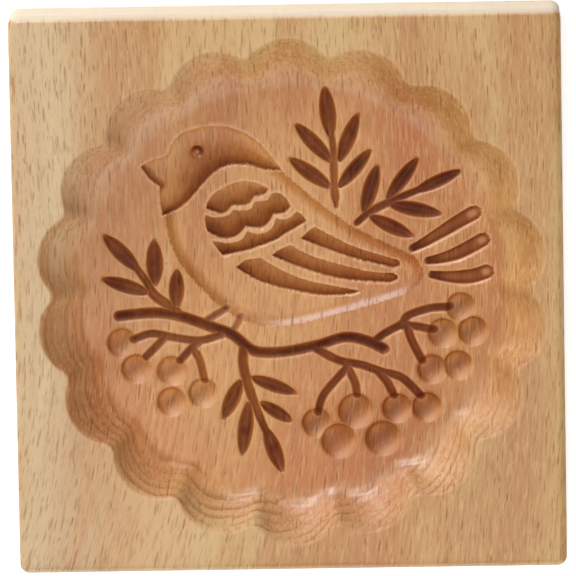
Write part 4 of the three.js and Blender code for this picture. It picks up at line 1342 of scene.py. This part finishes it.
def beech_material(look):
    """Oiled beech with painted shade in its cuts, with its figure running through the block."""
    material = bpy.data.materials.new("oiled_beech")
    tree = emptied(material)
    where = add(tree, "ShaderNodeTexCoord").outputs["Object"]
    millimetres = add(tree, "ShaderNodeMapping", {"Vector": where, "Scale": (1 / MM,) * 3}).outputs[0]
    figure = add(tree, "ShaderNodeGroup", {"Position": millimetres}, node_tree=grain_group())
    outputs = [Number(tree, socket) for socket in figure.outputs]
    bands, rings, streaks, flecks, height, patches, shine = outputs
    groove, hollow, dish, wall, depth, arris = (
        Number(tree, add(tree, "ShaderNodeAttribute", attribute_name=name).outputs["Fac"])
        for name in ("groove", "hollow", "dish", "wall", "depth", "arris")
    )
    x, y, _ = parts(tree, millimetres)
    off = x - BASIN_SHIFT
    beside = (off * off + y * y).math("SQRT")

    def lies_to(bearing, reach):
        turn = math.radians(bearing)
        toward = (off * math.sin(turn) + y * math.cos(turn)) / beside
        return toward.ramp(math.cos(math.radians(reach * 1.4)), math.cos(math.radians(reach * 0.5)))

    parts_of_basin = {
        "wall": wall,
        "upper wall": wall * depth.ramp(0.05, 0.6, 1.0, 0.0),
        "rim": wall * depth.ramp(0.05, 0.5, 1.0, 0.0),
        "lower wall": wall * depth.ramp(0.55, 1.0, 0.8, 0.2),
        "floor edge": beside.ramp(40.0, 55.0) * beside.ramp(57.0, 60.0, 0.6, 0.0),
        "outer floor": beside.ramp(38.0, 50.0) * beside.ramp(57.0, 60.0, 0.9, 0.0),
    }
    tints = [
        ("MULTIPLY", parts_of_basin[part] * lies_to(bearing, reach) * strength, getattr(look, tint))
        for part, tint, bearing, reach, strength in BASIN_TINTS
    ]
    sapwood = (x + y * 0.04 + (bands - 0.5) * 60.0).ramp(-80.0, -24.0, 1.0, 0.0)
    soaked = depth.ramp(0.2, 1.0) * (0.7 - wall * lies_to(50, 60) * 0.25 + (1.0 - wall) * 0.3) * look.soak
    # Painted sheen: paler wall towards two bearings, and a pale band along the wall's foot
    painted_sheen = wall * (lies_to(312, 28) * 0.2 + lies_to(160, 38) * 0.15)
    foot = depth.ramp(0.7, 0.93) * beside.ramp(54.5, 57.0)
    painted_sheen = painted_sheen + foot * (lies_to(0, 60) * 0.2 + lies_to(150, 34) * 0.12)
    lower = (y * -1.0 - x * 0.2).ramp(2.0, 40.0, 0.2, 1.0)
    uneven = noise(tree, millimetres, 0.11, 3.0, 0.6).ramp(0.38, 0.62, 0.55, 1.3)
    # Painted shade in the bird's hollows and the berries' dishes, and darker wood with painted shade in the
    # narrow cuts, as the power of the cut tint
    dark = hollow + dish * (lies_to(130, 50) * 0.15 + 0.3) + groove.ramp(0.02, 0.22) * 0.6
    dark = dark + (groove - 0.2).math("MAXIMUM", 0.0) * 1.2 * uneven
    cut = add(tree, "ShaderNodeGamma", {"Color": (*look.cut, 1.0), "Gamma": dark}).outputs[0]
    # End grain at both ends, far paler at the top end: painted light
    ends = HIGH.y / MM - END_GRAIN_START
    full = ends + END_GRAIN_RUN
    end_grain_and_painted_light = y.ramp(ends, full) * 0.85 + (y * -1.0).ramp(ends, full) * 0.3
    # Each coat lies over those before it
    coats = [
        ("MIX", bands.ramp(0.56, 0.42), look.pale),
        ("MIX", bands.ramp(0.5, 0.68), look.russet),
        ("MIX", sapwood * 0.75, look.sapwood),
        ("MULTIPLY", soaked, look.soaked),
        *tints,
        ("MIX", painted_sheen, look.painted_sheen),
        ("MULTIPLY", patches * lower, look.blush),
        ("MIX", rings * (wall * 0.5 * lower + 0.12), look.ring),
        ("MIX", streaks.ramp(0.5, 0.3) * 0.75, look.streak),
        ("MIX", streaks.ramp(0.5, 0.7) * (0.75 - depth * 0.2), look.pale),
        ("MIX", shine * 0.22, look.pale),
        ("MIX", flecks * 0.5, look.fleck),
        # Painted highlight along the arrises
        ("MIX", arris * 0.5, look.arris),
        ("MULTIPLY", 1.0, cut),
        ("MIX", end_grain_and_painted_light, look.end_grain_and_painted_light),
    ]
    # A Mix node for colours takes its factor and its two colours as inputs 0, 6 and 7
    wood = (*look.tan, 1.0)
    for blend, factor, coat in coats:
        coat = coat if isinstance(coat, bpy.types.NodeSocket) else (*coat, 1.0)
        node = add(tree, "ShaderNodeMix", data_type="RGBA", blend_type=blend)
        for place, value in ((0, factor), (6, wood), (7, coat)):
            plug(tree, value, node.inputs[place])
        wood = node.outputs[2]
    bump = add(tree, "ShaderNodeBump", {"Height": height, "Strength": 0.6, "Distance": BUMP_HEIGHT})
    rough = (streaks - 0.5) * 0.12 + flecks * 0.12 + end_grain_and_painted_light * 0.2 + look.roughness
    rough = rough + groove * 0.6 + hollow.ramp(0.35, 0.8, 0.0, 0.55) + dish * 0.42
    rough = rough + wall * depth.ramp(0.05, 0.35, 0.35, 0.0)
    shader = add(tree, "ShaderNodeBsdfPrincipled", {
        "Base Color": wood, "Roughness": rough, "Normal": bump.outputs[0], "Specular IOR Level": 0.2,
    })
    add(tree, "ShaderNodeOutputMaterial", {"Surface": shader.outputs[0]})
    return material


def seen_ray(tree):
    """1 for the rays that show a background: those of the camera, of gloss and of glass."""
    path = add(tree, "ShaderNodeLightPath").outputs
    return greatest(*(Number(tree, path[f"Is {kind} Ray"]) for kind in ("Camera", "Glossy", "Transmission")))


WHITE = (1.0, 1.0, 1.0, 1.0)
WARM_WHITE = (1.0, 0.99, 0.97, 1.0)
FLOOR_SIZE = 8.0
FLOOR_GAP = 0.0004
FLOOR_LIFT = 0.6


def floor_material(look):
    """A matt pale floor, seen as white where no shadow falls, in gloss and glass too."""
    material = bpy.data.materials.new("pale_floor")
    tree = emptied(material)
    matt = add(tree, "ShaderNodeBsdfDiffuse", {"Color": (*look.floor, 1.0)})
    lift = add(tree, "ShaderNodeEmission", {"Color": WHITE, "Strength": seen_ray(tree) * FLOOR_LIFT})
    both = add(tree, "ShaderNodeAddShader", {0: matt.outputs[0], 1: lift.outputs[0]})
    add(tree, "ShaderNodeOutputMaterial", {"Surface": both.outputs[0]})
    return material


def white_world():
    """White behind everything that is seen, directly or in gloss, with a little light from all round."""
    world = bpy.data.worlds.new("studio")
    tree = emptied(world)
    soft = add(tree, "ShaderNodeBackground", {"Color": WARM_WHITE, "Strength": 0.01})
    white = add(tree, "ShaderNodeBackground", {"Color": WHITE, "Strength": 1.0})
    both = add(tree, "ShaderNodeMixShader", {0: seen_ray(tree), 1: soft.outputs[0], 2: white.outputs[0]})
    add(tree, "ShaderNodeOutputWorld", {"Surface": both.outputs[0]})
    bpy.context.scene.world = world


# Lamps: bearing from the picture's top and rise above the face in degrees, size in metres, and strength
LAMPS = {
    "overhead_left": (315, 73, 0.55, 0.114),
    "overhead_side": (270, 73, 0.55, 0.148),
    "overhead_low": (180, 73, 0.55, 0.331),
    "window_left": (300, 14, 0.55, 0.306),
    "window_top": (330, 14, 0.55, 0.56),
    "fill_low": (180, 14, 0.55, 0.176),
    "fill_side": (135, 34, 0.55, 0.231),
    "window_shine": (342, 48, 0.35, 2.0),
}
GLOSS_ONLY = "window_shine"
LAMP_DISTANCE = 1.5


def add_lamp(name, bearing, rise, size, strength):
    """A soft square lamp aimed at the mould. At strength 1 a matt surface facing it shows as written."""
    data = bpy.data.lights.new(name, "AREA")
    data.shape = "RECTANGLE"
    data.size = data.size_y = size
    data.energy = strength * (math.pi * LAMP_DISTANCE) ** 2
    lamp = linked(bpy.data.objects.new(name, data))
    turn, tilt = math.radians(bearing), math.radians(rise)
    way = Vector((math.sin(turn) * math.cos(tilt), math.cos(turn) * math.cos(tilt), math.sin(tilt)))
    facing = (-way).to_track_quat("-Z", "Y").to_matrix().to_4x4()
    lamp.matrix_world = Matrix.Translation(way * LAMP_DISTANCE) @ facing
    lamp.visible_diffuse = name != GLOSS_ONLY


# The camera, as the photograph's edges of the block place it
CAMERA_DISTANCE = 2.239
CAMERA_PITCH = math.radians(9.55)
CAMERA_YAW = math.radians(0.82)
CAMERA_ROLL = math.radians(-1.02)
CAMERA_AIM = (-0.00017, 0.00146)
FOCAL_PIXELS = 8219
PICTURE_PIXELS = 576
SENSOR_WIDTH = 36.0
CLIP_RANGE = (0.05, 50)


def add_camera():
    """A long lens nearly square on to the carved face, from slightly above it."""
    data = bpy.data.cameras.new("camera")
    data.sensor_width = SENSOR_WIDTH
    data.lens = FOCAL_PIXELS * SENSOR_WIDTH / PICTURE_PIXELS
    data.clip_start, data.clip_end = CLIP_RANGE
    camera = linked(bpy.data.objects.new("camera", data))
    level = math.cos(CAMERA_PITCH)
    back = Vector((math.sin(CAMERA_YAW) * level, math.sin(CAMERA_PITCH), math.cos(CAMERA_YAW) * level))
    right = Vector((0, 1, 0)).cross(back).normalized()
    turn = Matrix((right, back.cross(right), back)).transposed().to_4x4()
    place = Vector((*CAMERA_AIM, FACE_HEIGHT)) + back * CAMERA_DISTANCE
    camera.matrix_world = Matrix.Translation(place) @ turn @ Matrix.Rotation(CAMERA_ROLL, 4, "Z")
    bpy.context.scene.camera = camera


class MOULD_OT_carve(bpy.types.Operator):
    """Carve the cookie mould from a block of oiled beech"""

    bl_idname = "mould.carve"
    bl_label = "Carve Mould"

    def execute(self, context):
        scene = context.scene
        mould = carve(scene.mould_sizes, beech_material(scene.mould_wood))
        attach(mould, "root")
        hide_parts(NODE)
        return {"FINISHED"}


class MOULD_OT_stage(bpy.types.Operator):
    """Lay a pale floor under the mould, and set the lamps and the camera"""

    bl_idname = "mould.stage"
    bl_label = "Set Stage"

    def execute(self, context):
        scene = context.scene
        scene.view_settings.view_transform = "Standard"
        bpy.ops.mesh.primitive_plane_add(size=FLOOR_SIZE, location=(0, 0, -FLOOR_GAP))
        floor = context.active_object
        floor.name = "floor"
        floor.data.materials.append(floor_material(scene.mould_stage))
        white_world()
        for name, (*where, size, strength) in LAMPS.items():
            add_lamp(name, *where, size, strength * scene.mould_stage.level)
        add_camera()
        return {"FINISHED"}


SETTINGS = {"mould_sizes": MouldSizes, "mould_wood": WoodLook, "mould_stage": StageLook}


class MOULD_PT_panel(bpy.types.Panel):
    """Sidebar panel of the mould"""

    bl_label = "Cookie Mould"
    bl_idname = "MOULD_PT_panel"
    bl_space_type = "VIEW_3D"
    bl_region_type = "UI"
    bl_category = "Mould"

    def draw(self, context):
        layout = self.layout
        for operator in (MOULD_OT_carve, MOULD_OT_stage):
            layout.operator(operator.bl_idname)
        for settings in SETTINGS:
            group = getattr(context.scene, settings)
            box = layout.box()
            for name in group.__annotations__:
                box.prop(group, name)


CLASSES = (*SETTINGS.values(), MOULD_OT_carve, MOULD_OT_stage, MOULD_PT_panel)


def register():
    """Registers the classes and hangs the settings on the scene."""
    for cls in CLASSES:
        bpy.utils.register_class(cls)
    for name, cls in SETTINGS.items():
        setattr(bpy.types.Scene, name, bpy.props.PointerProperty(type=cls))


def unregister():
    """Takes the settings and the classes away again."""
    for name in SETTINGS:
        delattr(bpy.types.Scene, name)
    for cls in reversed(CLASSES):
        bpy.utils.unregister_class(cls)


def main():
    """Builds the mould and its stage."""
    register()
    bpy.ops.mould.carve()
    bpy.ops.mould.stage()


if __name__ == "__main__":
    main()
